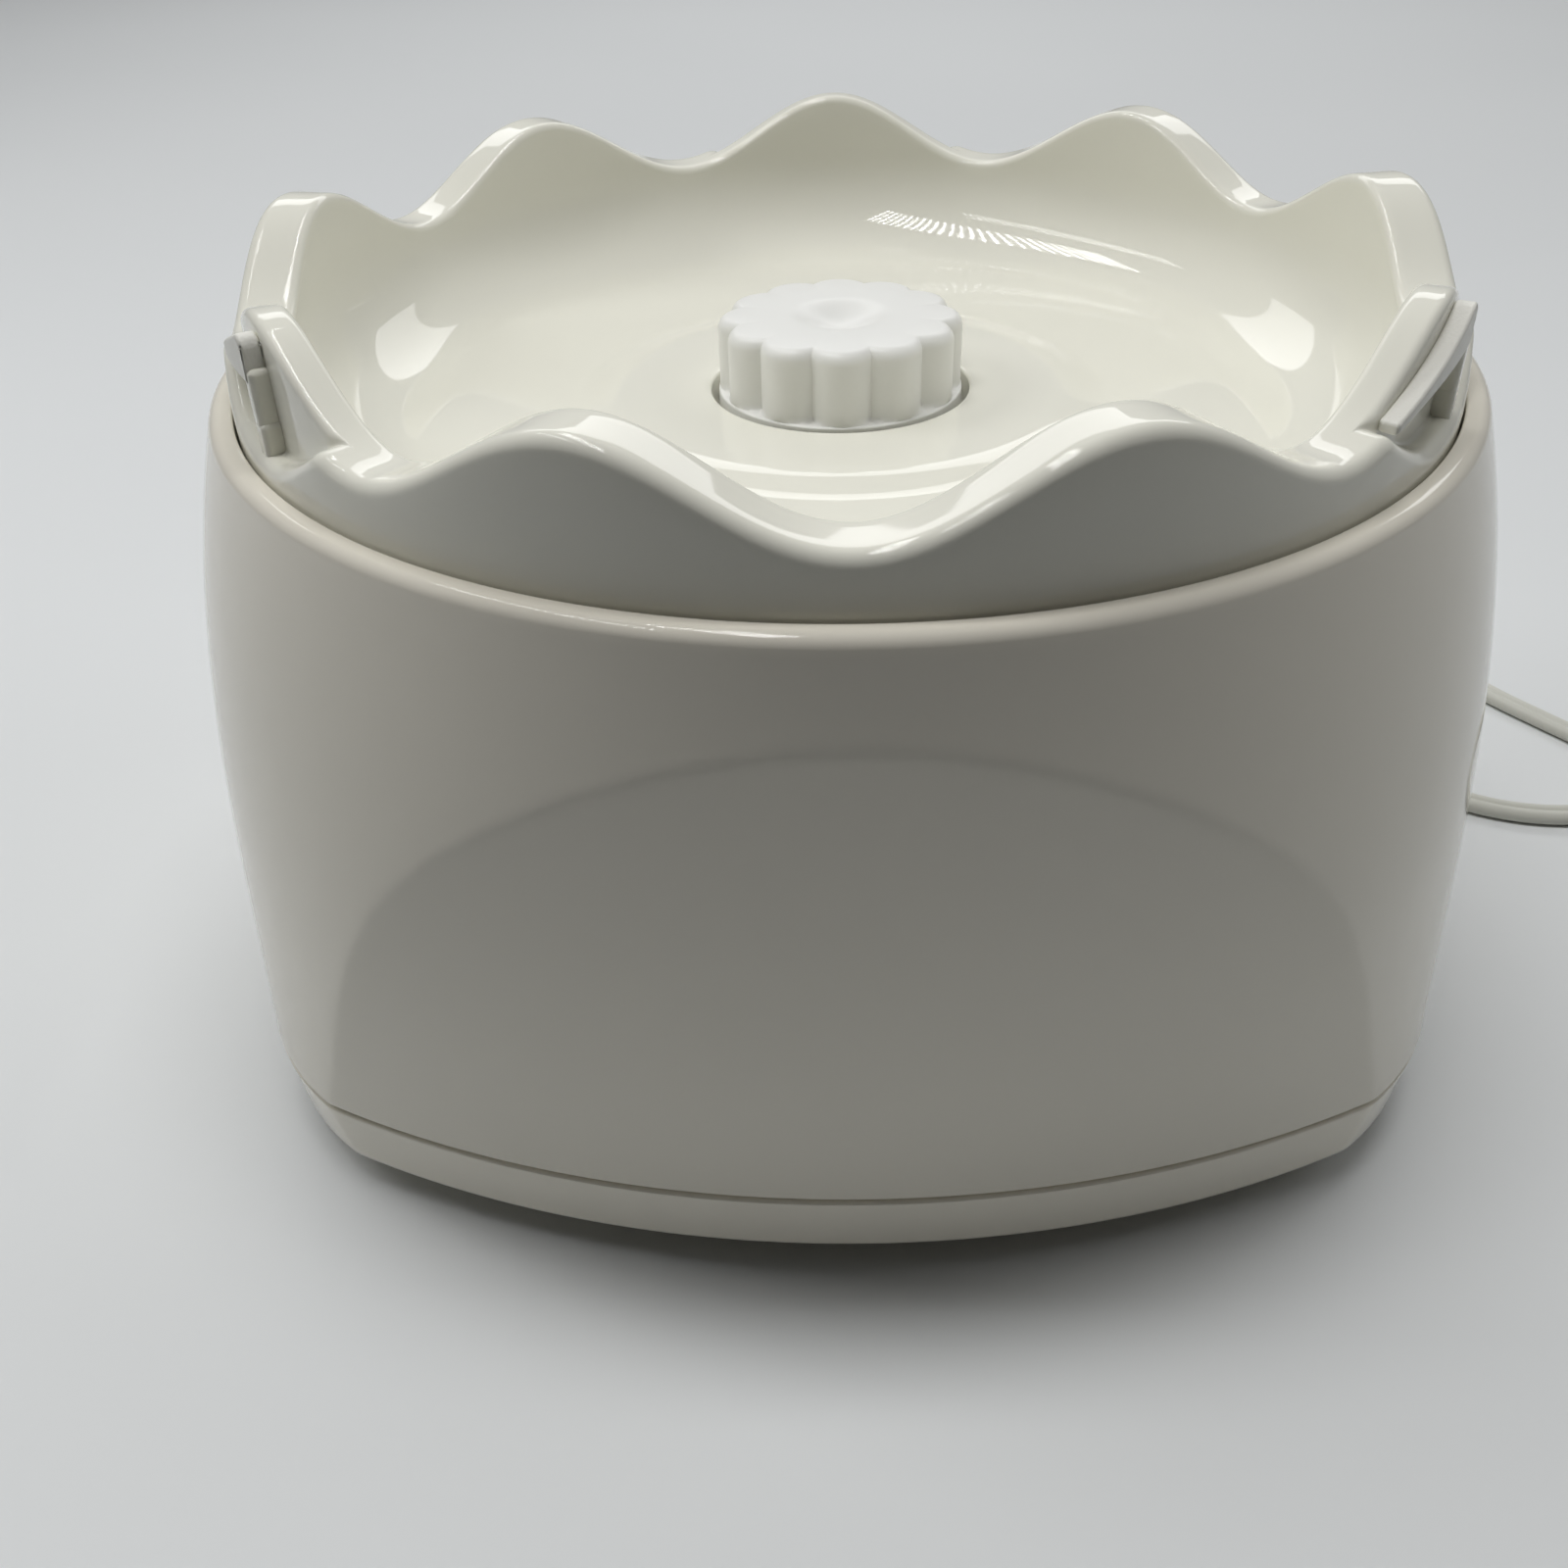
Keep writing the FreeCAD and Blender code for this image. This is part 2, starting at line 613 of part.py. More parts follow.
above = Part.makeRuledSurface(wave_curve(rim_inner - 4), wave_curve(RIM_RADIUS + 4))
tray = tray.cut(above.extrude(V(0, 0, WAVE_DROP + 20)))
EDGE_SLACK = 0.05
for radius, rounding in ((RIM_RADIUS, RIM_OUTER_EDGE), (rim_inner, RIM_INNER_EDGE)):
    wavy = []
    for edge in tray.Edges:
        middle = edge.valueAt((edge.FirstParameter + edge.LastParameter) / 2)
        from_axis = math.hypot(middle.x, middle.y)
        on_rim = abs(from_axis - radius) < EDGE_SLACK and edge.BoundBox.ZMin > VALLEY_Z - 2 * EDGE_SLACK
        if on_rim and edge.BoundBox.ZLength > WAVE_DROP / 2:
            wavy.append(edge)
    tray = tray.makeFillet(rounding, wavy)


def upright(points_list, smooth):
    """A slab standing across a lug's radius, from an outline of (sideways, height) points."""
    edges = []
    for run, curved in zip(points_list, smooth):
        at = [V(side, -RIM_RADIUS + 30, height) for side, height in run]
        if curved:
            curve = Part.BSplineCurve()
            curve.interpolate(at)
            edges.append(curve.toShape())
        else:
            for a, b in zip(at, at[1:]):
                edges.append(line(a, b))
    return Part.Face(Part.Wire(edges)).extrude(V(0, -60, 0))


pocket_z = LIP_Z + POCKET_FLOOR_RISE
pocket_lip = LIP_Z + POCKET_LIP_RISE
down = [
    (-POCKET_REACH, pocket_lip),
    (-POCKET_SHOULDER, pocket_z + POCKET_SHOULDER_RISE),
    (-POCKET_HALF_FLOOR - POCKET_EASE, pocket_z + POCKET_EASE_RISE),
    (-POCKET_HALF_FLOOR, pocket_z),
]
flat = [(-POCKET_HALF_FLOOR, pocket_z), (POCKET_HALF_FLOOR, pocket_z)]
rise = [(-side, height) for side, height in reversed(down)]
top = [(POCKET_REACH, pocket_lip), (POCKET_REACH, CREST_Z + 10), (-POCKET_REACH, CREST_Z + 10)]
top.append((-POCKET_REACH, pocket_lip))
pocket = upright([down, flat, rise, top], [True, False, True, False])
pocket = pocket.cut(cyl(POCKET_INNER, 0, CREST_Z + 20))

lug_low = LIP_Z + LUG_LOW_RISE
lug_high = LIP_Z + LUG_HIGH_RISE
rib_outline = [
    (-LUG_LOW_END, lug_low),
    (LUG_HIGH_END, lug_high),
    (LUG_HIGH_END, lug_high - LUG_THICKNESS),
    (-LUG_LOW_END, lug_low - LUG_THICKNESS),
    (-LUG_LOW_END, lug_low),
]
lug_band = ring(LUG_OUTER, LUG_INNER, LIP_Z, CREST_Z + 5)
lug = upright([rib_outline], [False]).common(lug_band)
post_high = lug_high - LUG_THICKNESS
post_step = pocket_z + LUG_STEP_TOP
post_foot = pocket_z + LUG_STEP_FOOT
post_outline = [
    (LUG_HIGH_END - LUG_POST, lug_high - LUG_POST_SINK),
    (LUG_HIGH_END, lug_high - LUG_POST_SINK / 2),
    (LUG_HIGH_END, post_high),
    (LUG_HIGH_END - LUG_STEP, post_high),
    (LUG_HIGH_END - LUG_STEP, post_step),
    (LUG_HIGH_END, post_step),
    (LUG_HIGH_END, post_foot),
    (LUG_HIGH_END + LUG_STEP, post_foot),
    (LUG_HIGH_END + LUG_STEP, pocket_z - 1),
    (LUG_HIGH_END - LUG_POST, pocket_z - 1),
    (LUG_HIGH_END - LUG_POST, lug_high - LUG_POST_SINK),
]
post_band = ring(LUG_OUTER, POCKET_INNER - 1, LIP_Z, CREST_Z + 5)
lug_post = upright([post_outline], [False]).common(post_band)
for degrees in LUG_AROUND:
    tray = tray.cut(turned(pocket, degrees))
additions = []
for degrees in LUG_AROUND:
    additions.append(turned(lug, degrees))
    additions.append(turned(lug_post, degrees))
for degrees in TRAY_SCREW_AROUND:
    at = around(degrees) * TRAY_SCREW_RING
    additions.append(cyl(TRAY_SCREW_BOSS, LEDGE_Z, channel_top + 1, at.x, at.y))
for x, y in HANGERS:
    additions.append(cyl(HANGER_RADIUS, PLATE_TOP, floor_low + HANGER_BITE, x, y))
tray = fuse([tray] + additions)
tray_screws = []
for degrees in TRAY_SCREW_AROUND:
    at = around(degrees) * TRAY_SCREW_RING
    tray = tray.cut(cyl(TRAY_SCREW_RADIUS, LEDGE_Z - 1, LEDGE_Z + TRAY_SCREW_GRIP, at.x, at.y))
    head = cyl(TRAY_HEAD_RADIUS, LEDGE_LOW - TRAY_HEAD_HEIGHT, LEDGE_LOW, at.x, at.y)
    shank = cyl(TRAY_SCREW_RADIUS, LEDGE_LOW, LEDGE_Z + TRAY_SCREW_GRIP, at.x, at.y)
    tray_screws.append(fuse([head, shank]))
for x, y in HANGERS:
    tray = tray.cut(cyl(GEARBOX_SCREW_RADIUS, PLATE_TOP - 1, PLATE_TOP + GEARBOX_SCREW_GRIP, x, y))
add("bowl_tray", tray)
add("tray_screws", Part.makeCompound(tray_screws))


# Drive coupling: a fluted drum with a flange at its foot and a dimple on top


def fluted(low, high):
    """Drum whose side is a row of round lobes with a lobe at the front."""
    edges = []
    step = 360.0 / COUPLING_LOBES
    for i in range(COUPLING_LOBES):
        a = around((i - 0.5) * step) * COUPLING_CUSP
        middle = around(i * step) * COUPLING_RADIUS
        b = around((i + 0.5) * step) * COUPLING_CUSP
        edges.append(arc(a, middle, b))
    face = Part.Face(Part.Wire(edges))
    face.translate(V(0, 0, low))
    return face.extrude(V(0, 0, high - low))


def d_section(low, high):
    flat = box(-SHAFT_FLAT * 2, SHAFT_FLAT, -20, 20, low, high)
    return cyl(SHAFT_RADIUS, low, high).common(flat)


coupling_cone = Part.makeCone(
    COUPLING_RADIUS + COUPLING_TOP - COUPLING_LOW, COUPLING_RADIUS - COUPLING_EDGE,
    COUPLING_TOP - COUPLING_LOW + COUPLING_EDGE, V(0, 0, COUPLING_LOW - COUPLING_EDGE), UP)
coupling = fluted(COUPLING_LOW, COUPLING_TOP).common(coupling_cone)
flange = cyl(COUPLING_FLANGE, COUPLING_LOW, COUPLING_LOW + COUPLING_FLANGE_HEIGHT)
coupling = fuse([coupling, flange])
ball = (DIMPLE_RADIUS ** 2 + DIMPLE_DEPTH ** 2) / (2 * DIMPLE_DEPTH)
coupling = coupling.cut(Part.makeSphere(ball, V(0, 0, COUPLING_TOP - DIMPLE_DEPTH + ball)))
shaft_top = COUPLING_TOP - COUPLING_CAP
coupling = coupling.cut(d_section(COUPLING_LOW - 1, shaft_top))
add("drive_coupling", coupling)


# Output shaft, its circlip, seal and bushes

shaft = cyl(SHAFT_RADIUS, HOUSING_LOW + END_PLAY, COUPLING_LOW)
shaft = fuse([shaft, d_section(COUPLING_LOW, shaft_top)])
circlip_low = PLATE_TOP + BUSH_FLANGE_HEIGHT + CIRCLIP_LIFT
circlip_high = circlip_low + CIRCLIP_THICKNESS
shaft = shaft.cut(ring(SHAFT_RADIUS + 1, CIRCLIP_SEAT, circlip_low, circlip_high))
add("output_shaft", shaft)
circlip = ring(CIRCLIP_RADIUS, CIRCLIP_SEAT, circlip_low, circlip_high)
mouth = box(
    -CIRCLIP_HALF_GAP, CIRCLIP_HALF_GAP, -CIRCLIP_RADIUS - 1, 0, circlip_low - 1, circlip_high + 1)
add("shaft_circlip", circlip.cut(mouth))
seal_bore = SHAFT_RADIUS + RUNNING
add("shaft_seal", ring(SEAL_RADIUS, seal_bore, WELL_LOW, WELL_LOW + SEAL_HEIGHT))
bush_radius = SHAFT_RADIUS + BUSH_WALL
upper = ring(BUSH_FLANGE, seal_bore, PLATE_TOP, PLATE_TOP + BUSH_FLANGE_HEIGHT)
add("upper_bush", fuse([upper, ring(bush_radius, seal_bore, PLATE_LOW, PLATE_TOP)]))
lower = ring(BUSH_FLANGE, seal_bore, HOUSING_TOP_OF_FLOOR, HOUSING_TOP_OF_FLOOR + BUSH_FLANGE_HEIGHT)
add("lower_bush", fuse([lower, ring(bush_radius, seal_bore, HOUSING_LOW, HOUSING_TOP_OF_FLOOR)]))


# Gears


def involute(angle):
    return math.tan(angle) - angle


def gear(module, teeth, low, high, x, y, phase):
    """Spur gear with a tooth centred on the phase angle, counted from +X."""
    pressure = math.radians(PRESSURE)
    pitch = module * teeth / 2
    base = pitch * math.cos(pressure)
    root = pitch - 1.25 * module
    half_tooth = math.pi / (2 * teeth) - BACKLASH / (2 * pitch)
    flank = []
    for radius in (max(root, base), pitch, pitch + module):
        slope = math.acos(min(1.0, base / radius))
        flank.append((radius, half_tooth + involute(pressure) - involute(slope)))
    if root < base:
        flank.insert(0, (root, flank[0][1]))
    points = []
    for i in range(teeth):
        centre = math.radians(phase + 360.0 * i / teeth)
        for radius, half in flank:
            points.append((radius, centre - half))
        for radius, half in reversed(flank):
            points.append((radius, centre + half))
    outline = [V(x + r * math.cos(a), y + r * math.sin(a), low) for r, a in points]
    outline.append(outline[0])
    return Part.Face(Part.makePolygon(outline)).extrude(V(0, 0, high - low))


def meshing(phase, teeth, direction, next_teeth):
    """Phase of the next gear so that its gap takes a tooth of this one."""
    share = (direction - phase) * teeth / 360.0
    return direction + 180 - (0.5 - share) * 360.0 / next_teeth


output_phase = 90.0
second_phase = meshing(output_phase, OUTPUT_TEETH, 90.0, PINION_TEETH)
first_phase = meshing(second_phase, SECOND_TEETH, FIRST_DIRECTION, PINION_TEETH)
motor_phase = meshing(first_phase, FIRST_TEETH, -90.0, PINION_TEETH)
pin_bore = PIN_RADIUS + RUNNING
low_hub = HOUSING_TOP_OF_FLOOR + END_PLAY
high_hub = PLATE_LOW - END_PLAY

output_gear = gear(OUTPUT_MODULE, OUTPUT_TEETH, OUTPUT_LOW, OUTPUT_TOP, 0, 0, output_phase)
output_hub = cyl(SHAFT_RADIUS + 5, HOUSING_TOP_OF_FLOOR + BUSH_FLANGE_HEIGHT + END_PLAY, high_hub)
add("output_gear", fuse([output_gear, output_hub]).cut(cyl(SHAFT_RADIUS, 0, CREST_Z)))

second = fuse([
    gear(SECOND_MODULE, SECOND_TEETH, SECOND_LOW, SECOND_TOP, SECOND_X, SECOND_Y, second_phase),
    gear(
        OUTPUT_MODULE, PINION_TEETH, SECOND_TOP, OUTPUT_TOP + PINION_OVERLAP,
        SECOND_X, SECOND_Y, second_phase),
    cyl(HUB_RADIUS, low_hub, SECOND_LOW, SECOND_X, SECOND_Y),
    cyl(HUB_RADIUS, OUTPUT_TOP + PINION_OVERLAP, high_hub, SECOND_X, SECOND_Y),
])
add("second_gear", second.cut(cyl(pin_bore, 0, CREST_Z, SECOND_X, SECOND_Y)))
first = fuse([
    gear(FIRST_MODULE, FIRST_TEETH, FIRST_LOW, FIRST_TOP, FIRST_X, FIRST_Y, first_phase),
    gear(
        SECOND_MODULE, PINION_TEETH, FIRST_TOP, SECOND_TOP + PINION_OVERLAP,
        FIRST_X, FIRST_Y, first_phase),
    cyl(HUB_RADIUS, low_hub, FIRST_LOW, FIRST_X, FIRST_Y),
    cyl(HUB_RADIUS, SECOND_TOP + PINION_OVERLAP, high_hub, FIRST_X, FIRST_Y),
])
add("first_gear", first.cut(cyl(pin_bore, 0, CREST_Z, FIRST_X, FIRST_Y)))
add("second_pin", cyl(PIN_RADIUS, HOUSING_LOW, PLATE_TOP, SECOND_X, SECOND_Y))
add("first_pin", cyl(PIN_RADIUS, HOUSING_LOW, PLATE_TOP, FIRST_X, FIRST_Y))


# Gearbox


def gearbox_block(inset, corner, low, high):
    block = box(
        GEARBOX_LEFT + inset, GEARBOX_RIGHT - inset,
        GEARBOX_FRONT + inset, GEARBOX_REAR - inset, low, high)
    uprights = []
    for edge in block.Edges:
        if edge.BoundBox.ZLength > high - low - 0.01:
            uprights.append(edge)
    return block.makeFillet(corner, uprights)


bores = [cyl(bush_radius, 0, CREST_Z)]
bores.append(cyl(PIN_RADIUS, 0, CREST_Z, SECOND_X, SECOND_Y))
bores.append(cyl(PIN_RADIUS, 0, CREST_Z, FIRST_X, FIRST_Y))
for x, y in HANGERS:
    bores.append(cyl(GEARBOX_SCREW_RADIUS + SCREW_CLEARANCE, 0, CREST_Z, x, y))
plate = gearbox_block(-HOUSING_WALL, HOUSING_CORNER, PLATE_LOW, PLATE_TOP)
add("gearbox_plate", plate.cut(Part.makeCompound(bores)))

housing = gearbox_block(-HOUSING_WALL, HOUSING_CORNER, HOUSING_LOW, PLATE_LOW)
housing_hollow = gearbox_block(0, HOUSING_CORNER - HOUSING_WALL, HOUSING_TOP_OF_FLOOR, PLATE_LOW + 1)
housing_parts = [housing.cut(housing_hollow)]
for x, y in HANGERS:
    housing_parts.append(cyl(HANGER_RADIUS, HOUSING_LOW, PLATE_LOW, x, y))
for side in (1, -1):
    x = MOTOR_X + side * MOTOR_SCREW_X
    screw_y = MOTOR_Y + MOTOR_SCREW_Y
    housing_parts.append(cyl(MOTOR_BOSS_RADIUS, STACK_TOP, HOUSING_LOW + 1, x, screw_y))
housing = fuse(housing_parts).cut(Part.makeCompound(bores))
housing = housing.cut(cyl(MOTOR_HOLE, HOUSING_LOW - 1, HOUSING_TOP_OF_FLOOR + 1, MOTOR_X, MOTOR_Y))
motor_screw_top = HOUSING_LOW - 0.5
gearbox_screws = []
for x, y in HANGERS:
    head = cyl(GEARBOX_HEAD_RADIUS, HOUSING_LOW - GEARBOX_HEAD_HEIGHT, HOUSING_LOW, x, y)
    shank = cyl(GEARBOX_SCREW_RADIUS, HOUSING_LOW, PLATE_TOP + GEARBOX_SCREW_GRIP, x, y)
    gearbox_screws.append(fuse([head, shank]))
motor_screws = []
for side in (1, -1):
    x = MOTOR_X + side * MOTOR_SCREW_X
    y = MOTOR_Y + MOTOR_SCREW_Y
    housing = housing.cut(cyl(MOTOR_SCREW_RADIUS, STACK_TOP - 1, motor_screw_top, x, y))
    head = cyl(MOTOR_HEAD_RADIUS, STACK_LOW - MOTOR_HEAD_HEIGHT, STACK_LOW, x, y)
    motor_screws.append(fuse([head, cyl(MOTOR_SCREW_RADIUS, STACK_LOW, motor_screw_top, x, y)]))
add("gearbox_housing", housing)
add("gearbox_screws", Part.makeCompound(gearbox_screws))
add("motor_screws", Part.makeCompound(motor_screws))


# Motor: stack with a rotor bore and a wound leg, rotor between two brackets, fan underneath

bore_radius = ROTOR_RADIUS + ROTOR_GAP
window_rear = MOTOR_Y - bore_radius - YOKE_WALL
window_front = window_rear - WINDOW_DEPTH
leg_front = window_front - LEG_DEPTH
stack = box(
    MOTOR_X - STACK_HALF_WIDTH, MOTOR_X + STACK_HALF_WIDTH,
    leg_front, MOTOR_Y + STACK_REAR, STACK_LOW, STACK_TOP)
stack = stack.cut(cyl(bore_radius, STACK_LOW - 1, STACK_TOP + 1, MOTOR_X, MOTOR_Y))
window = box(
    MOTOR_X - WINDOW_HALF_WIDTH, MOTOR_X + WINDOW_HALF_WIDTH,
    window_front, window_rear, STACK_LOW - 1, STACK_TOP + 1)
stack = stack.cut(window)
for side in (1, -1):
    x = MOTOR_X + side * MOTOR_SCREW_X
    screw_y = MOTOR_Y + MOTOR_SCREW_Y
    hole = cyl(MOTOR_SCREW_RADIUS + SCREW_CLEARANCE, STACK_LOW - 1, STACK_TOP + 1, x, screw_y)
    stack = stack.cut(hole)
add("stator_stack", stack)


def leg_block(half_length, spread_front, spread_rear, spread_up):
    return box(
        MOTOR_X - half_length, MOTOR_X + half_length, leg_front - spread_front, window_front + spread_rear,
        STACK_LOW - spread_up, STACK_TOP + spread_up)


bobbin_half = WINDOW_HALF_WIDTH - BOBBIN_PLAY
coil_half = bobbin_half - BOBBIN_FLANGE
bobbin_spread = WINDOW_DEPTH - BOBBIN_PLAY - 1
tube = leg_block(bobbin_half, BOBBIN_WALL, BOBBIN_WALL, BOBBIN_WALL)
cheeks = leg_block(bobbin_half, bobbin_spread, bobbin_spread, BOBBIN_RISE)
cheeks = cheeks.cut(leg_block(coil_half, bobbin_spread + 1, bobbin_spread + 1, BOBBIN_RISE + 1))
bobbin = fuse([tube, cheeks]).cut(leg_block(bobbin_half + 1, 0, 0, 0))
add("coil_bobbin", bobbin)
winding_spread = bobbin_spread - WINDING_SETBACK
winding = leg_block(coil_half, winding_spread, winding_spread, BOBBIN_RISE - WINDING_SETBACK)
long_edges = []
for edge in winding.Edges:
    if edge.BoundBox.XLength > coil_half:
        long_edges.append(edge)
winding = winding.makeFillet(WINDING_ROUND, long_edges)
add("coil_winding", winding.cut(leg_block(coil_half + 1, BOBBIN_WALL, BOBBIN_WALL, BOBBIN_WALL)))


def bracket(low, high, strap_low, strap_high):
    """A strap across the rotor on two short legs, with a hole for the bush."""
    block = box(
        MOTOR_X - BRACKET_OUTER, MOTOR_X + BRACKET_OUTER,
        MOTOR_Y - BRACKET_HALF_WIDTH, MOTOR_Y + BRACKET_HALF_WIDTH, low, high)
    inner = BRACKET_OUTER - BRACKET_STRAP
    cut_low = low - 1 if low < strap_low else strap_high
    cut_high = strap_low if low < strap_low else high + 1
    block = block.cut(box(MOTOR_X - inner, MOTOR_X + inner, MOTOR_Y - 20, MOTOR_Y + 20, cut_low, cut_high))
    return block.cut(cyl(MOTOR_BUSH_RADIUS, low - 1, high + 1, MOTOR_X, MOTOR_Y))


upper_high = STACK_TOP + BRACKET_RISE
lower_low = STACK_LOW - BRACKET_RISE
add("upper_motor_bracket", bracket(STACK_TOP, upper_high, upper_high - BRACKET_STRAP, upper_high))
add("lower_motor_bracket", bracket(lower_low, STACK_LOW, lower_low, lower_low + BRACKET_STRAP))
motor_bore = MOTOR_SHAFT_RADIUS + RUNNING
bush_mid = upper_high - BRACKET_STRAP / 2
half_bush = MOTOR_BUSH_LENGTH / 2
bush = ring(MOTOR_BUSH_RADIUS, motor_bore, bush_mid - half_bush, bush_mid + half_bush, MOTOR_X, MOTOR_Y)
add("upper_motor_bush", bush)
bush_mid = lower_low + BRACKET_STRAP / 2
bush = ring(MOTOR_BUSH_RADIUS, motor_bore, bush_mid - half_bush, bush_mid + half_bush, MOTOR_X, MOTOR_Y)
add("lower_motor_bush", bush)

rotor_low = STACK_LOW - ROTOR_OVERHANG
rotor_high = STACK_TOP + ROTOR_OVERHANG
add("rotor_core", ring(ROTOR_RADIUS, MOTOR_SHAFT_RADIUS, rotor_low, rotor_high, MOTOR_X, MOTOR_Y))
motor_pinion_high = FIRST_TOP + END_PLAY
shaft_low = STACK_LOW - MOTOR_SHAFT_TAIL
add("motor_shaft", cyl(MOTOR_SHAFT_RADIUS, shaft_low, motor_pinion_high, MOTOR_X, MOTOR_Y))
motor_pinion = gear(
    FIRST_MODULE, PINION_TEETH, FIRST_LOW - END_PLAY, motor_pinion_high, MOTOR_X, MOTOR_Y, motor_phase)
add("motor_pinion", motor_pinion.cut(cyl(MOTOR_SHAFT_RADIUS, 0, CREST_Z, MOTOR_X, MOTOR_Y)))

fan_high = lower_low - FAN_GAP - half_bush
fan_low = fan_high - FAN_HEIGHT
fan_parts = [cyl(FAN_HUB, fan_low, fan_high, MOTOR_X, MOTOR_Y)]
for i in range(FAN_BLADES):
    half = FAN_BLADE_THICKNESS / 2
    blade = box(FAN_HUB - 1, FAN_RADIUS, -half, half, fan_low, fan_high)
    blade = turned(blade, 360.0 * i / FAN_BLADES)
    blade.translate(V(MOTOR_X, MOTOR_Y, 0))
    fan_parts.append(blade)
fan = fuse(fan_parts).cut(cyl(MOTOR_SHAFT_RADIUS, 0, CREST_Z, MOTOR_X, MOTOR_Y))
add("cooling_fan", fan)


# Rotary switch

spindle_end = SWITCH_FACE + RECESS_DEPTH + SPINDLE_PROUD
spindle_start = SWITCH_BACK - SPINDLE_DEPTH
knob_front = SWITCH_FACE + KNOB_LIFT
knob_end = SWITCH_FACE + RECESS_DEPTH + KNOB_PROUD
neck_end = SWITCH_FACE + SWITCH_NECK_PROUD
switch_body = box(
    -SWITCH_WIDTH / 2, SWITCH_WIDTH / 2, SWITCH_BACK - SWITCH_LENGTH, SWITCH_BACK,
    SWITCH_HEIGHT - SWITCH_TALL / 2, SWITCH_HEIGHT + SWITCH_TALL / 2)
switch_body = fuse([switch_body, cyl_back(SWITCH_NECK, SWITCH_BACK, neck_end, 0, SWITCH_HEIGHT)])
spindle_room = cyl_back(SPINDLE_RADIUS + RUNNING, spindle_start - END_PLAY, neck_end + 1, 0, SWITCH_HEIGHT)
add("switch_body", switch_body.cut(spindle_room))
add("switch_spindle", cyl_back(SPINDLE_RADIUS, spindle_start, spindle_end, 0, SWITCH_HEIGHT))
corners = []
for i in range(7):
    angle = math.radians(60 * i)
    across = NUT_CORNERS * math.cos(angle)
    corners.append(V(across, SWITCH_FACE, SWITCH_HEIGHT + NUT_CORNERS * math.sin(angle)))
nut = Part.Face(Part.makePolygon(corners)).extrude(V(0, NUT_HEIGHT, 0))
nut = nut.cut(cyl_back(SWITCH_NECK, SWITCH_FACE - 1, SWITCH_FACE + NUT_HEIGHT + 1, 0, SWITCH_HEIGHT))
add("switch_nut", nut)
knob = cyl_back(KNOB_RADIUS, knob_front, knob_front + KNOB_DISC, 0, SWITCH_HEIGHT)
grip = box(
    -GRIP_WIDTH / 2, GRIP_WIDTH / 2, knob_front + 1, knob_end,
    SWITCH_HEIGHT - KNOB_RADIUS, SWITCH_HEIGHT + KNOB_RADIUS)
grip = grip.common(cyl_back(KNOB_RADIUS - GRIP_INSET, knob_front, knob_end, 0, SWITCH_HEIGHT))
knob = fuse([knob, grip])
knob = knob.cut(cyl_back(KNOB_HOLLOW, knob_front - 1, knob_front + KNOB_HOLLOW_DEPTH, 0, SWITCH_HEIGHT))
knob = knob.cut(cyl_back(SPINDLE_RADIUS, knob_front - 1, spindle_end, 0, SWITCH_HEIGHT))
add("switch_knob", knob)


# Mains cord


def boot(front, rear, radius_front, radius_rear):
    return Part.makeCone(radius_front, radius_rear, rear - front, V(EXIT_X, front, EXIT_HEIGHT), BACK)


wall_rear = facet_y(EXIT_X, EXIT_HEIGHT)
collar = cyl_back(BOOT_FLANGE, wall_rear - 5, wall_rear + BOOT_FLANGE_HEIGHT, EXIT_X, EXIT_HEIGHT)
relief = fuse([
    cyl_back(BOOT_RADIUS, BOOT_INSIDE, wall_rear + BOOT_FLANGE_HEIGHT, EXIT_X, EXIT_HEIGHT),
    collar.cut(outside),
    boot(wall_rear + BOOT_FLANGE_HEIGHT, BOOT_END, BOOT_RADIUS, BOOT_TIP),
])
add("strain_relief", relief)


def unit(vector):
    return vector * (1.0 / vector.Length)


def bent_route(points):
    """Straight runs joined by arcs as large as the runs allow."""
    edges = []
    radii = []
    start = points[0]
    for before, corner, after in zip(points, points[1:], points[2:]):
        into = unit(corner - before)
        out = unit(after - corner)
        turn = into.getAngle(out)
        reach = 0.45 * min((corner - before).Length, (after - corner).Length)
        radius = reach / math.tan(turn / 2)
        inward = unit(out - into)
        first = corner - into * reach
        last = corner + out * reach
        middle = corner + inward * (radius / math.cos(turn / 2) - radius)
        edges.append(line(start, first))
        edges.append(arc(first, middle, last))
        radii.append(round(radius, 1))
        start = last
    edges.append(line(start, points[-1]))
    return Part.Wire(edges), radii


def cord_along(wire, start, direction):
    section = Part.Circle(start, direction, CORD_DIAMETER / 2).toShape()
    return wire.makePipeShell([Part.Wire([section])], True, False)


coil_pitch = CORD_DIAMETER + COIL_SPACE
coil_top = COIL_REST + CORD_DIAMETER + COIL_LAYER_SPACE


def coil_radius(turns):
    """The loops spiral in over half the turns and out again, with a round reversal."""
    middle = COIL_TURNS / 2
    away = abs(turns - middle)
    inner = COIL_RADIUS - coil_pitch * middle
    if away < 0.25:
        return inner + coil_pitch * (2 * away ** 2 + 0.125)
    return inner + coil_pitch * away


def coil_height(turns):
    share = min(1.0, max(0.0, (turns - COIL_TURNS / 2) * 2 + 0.5))
    return COIL_REST + (coil_top - COIL_REST) * share * share * (3 - 2 * share)


def coil_point(turns):
    angle = math.radians(90 + 360 * turns)
    radius = coil_radius(turns)
    return V(COIL_X + radius * math.cos(angle), COIL_Y + radius * math.sin(angle), coil_height(turns))


def coil_heading(turns):
    return unit(coil_point(turns + 0.0005) - coil_point(turns - 0.0005))


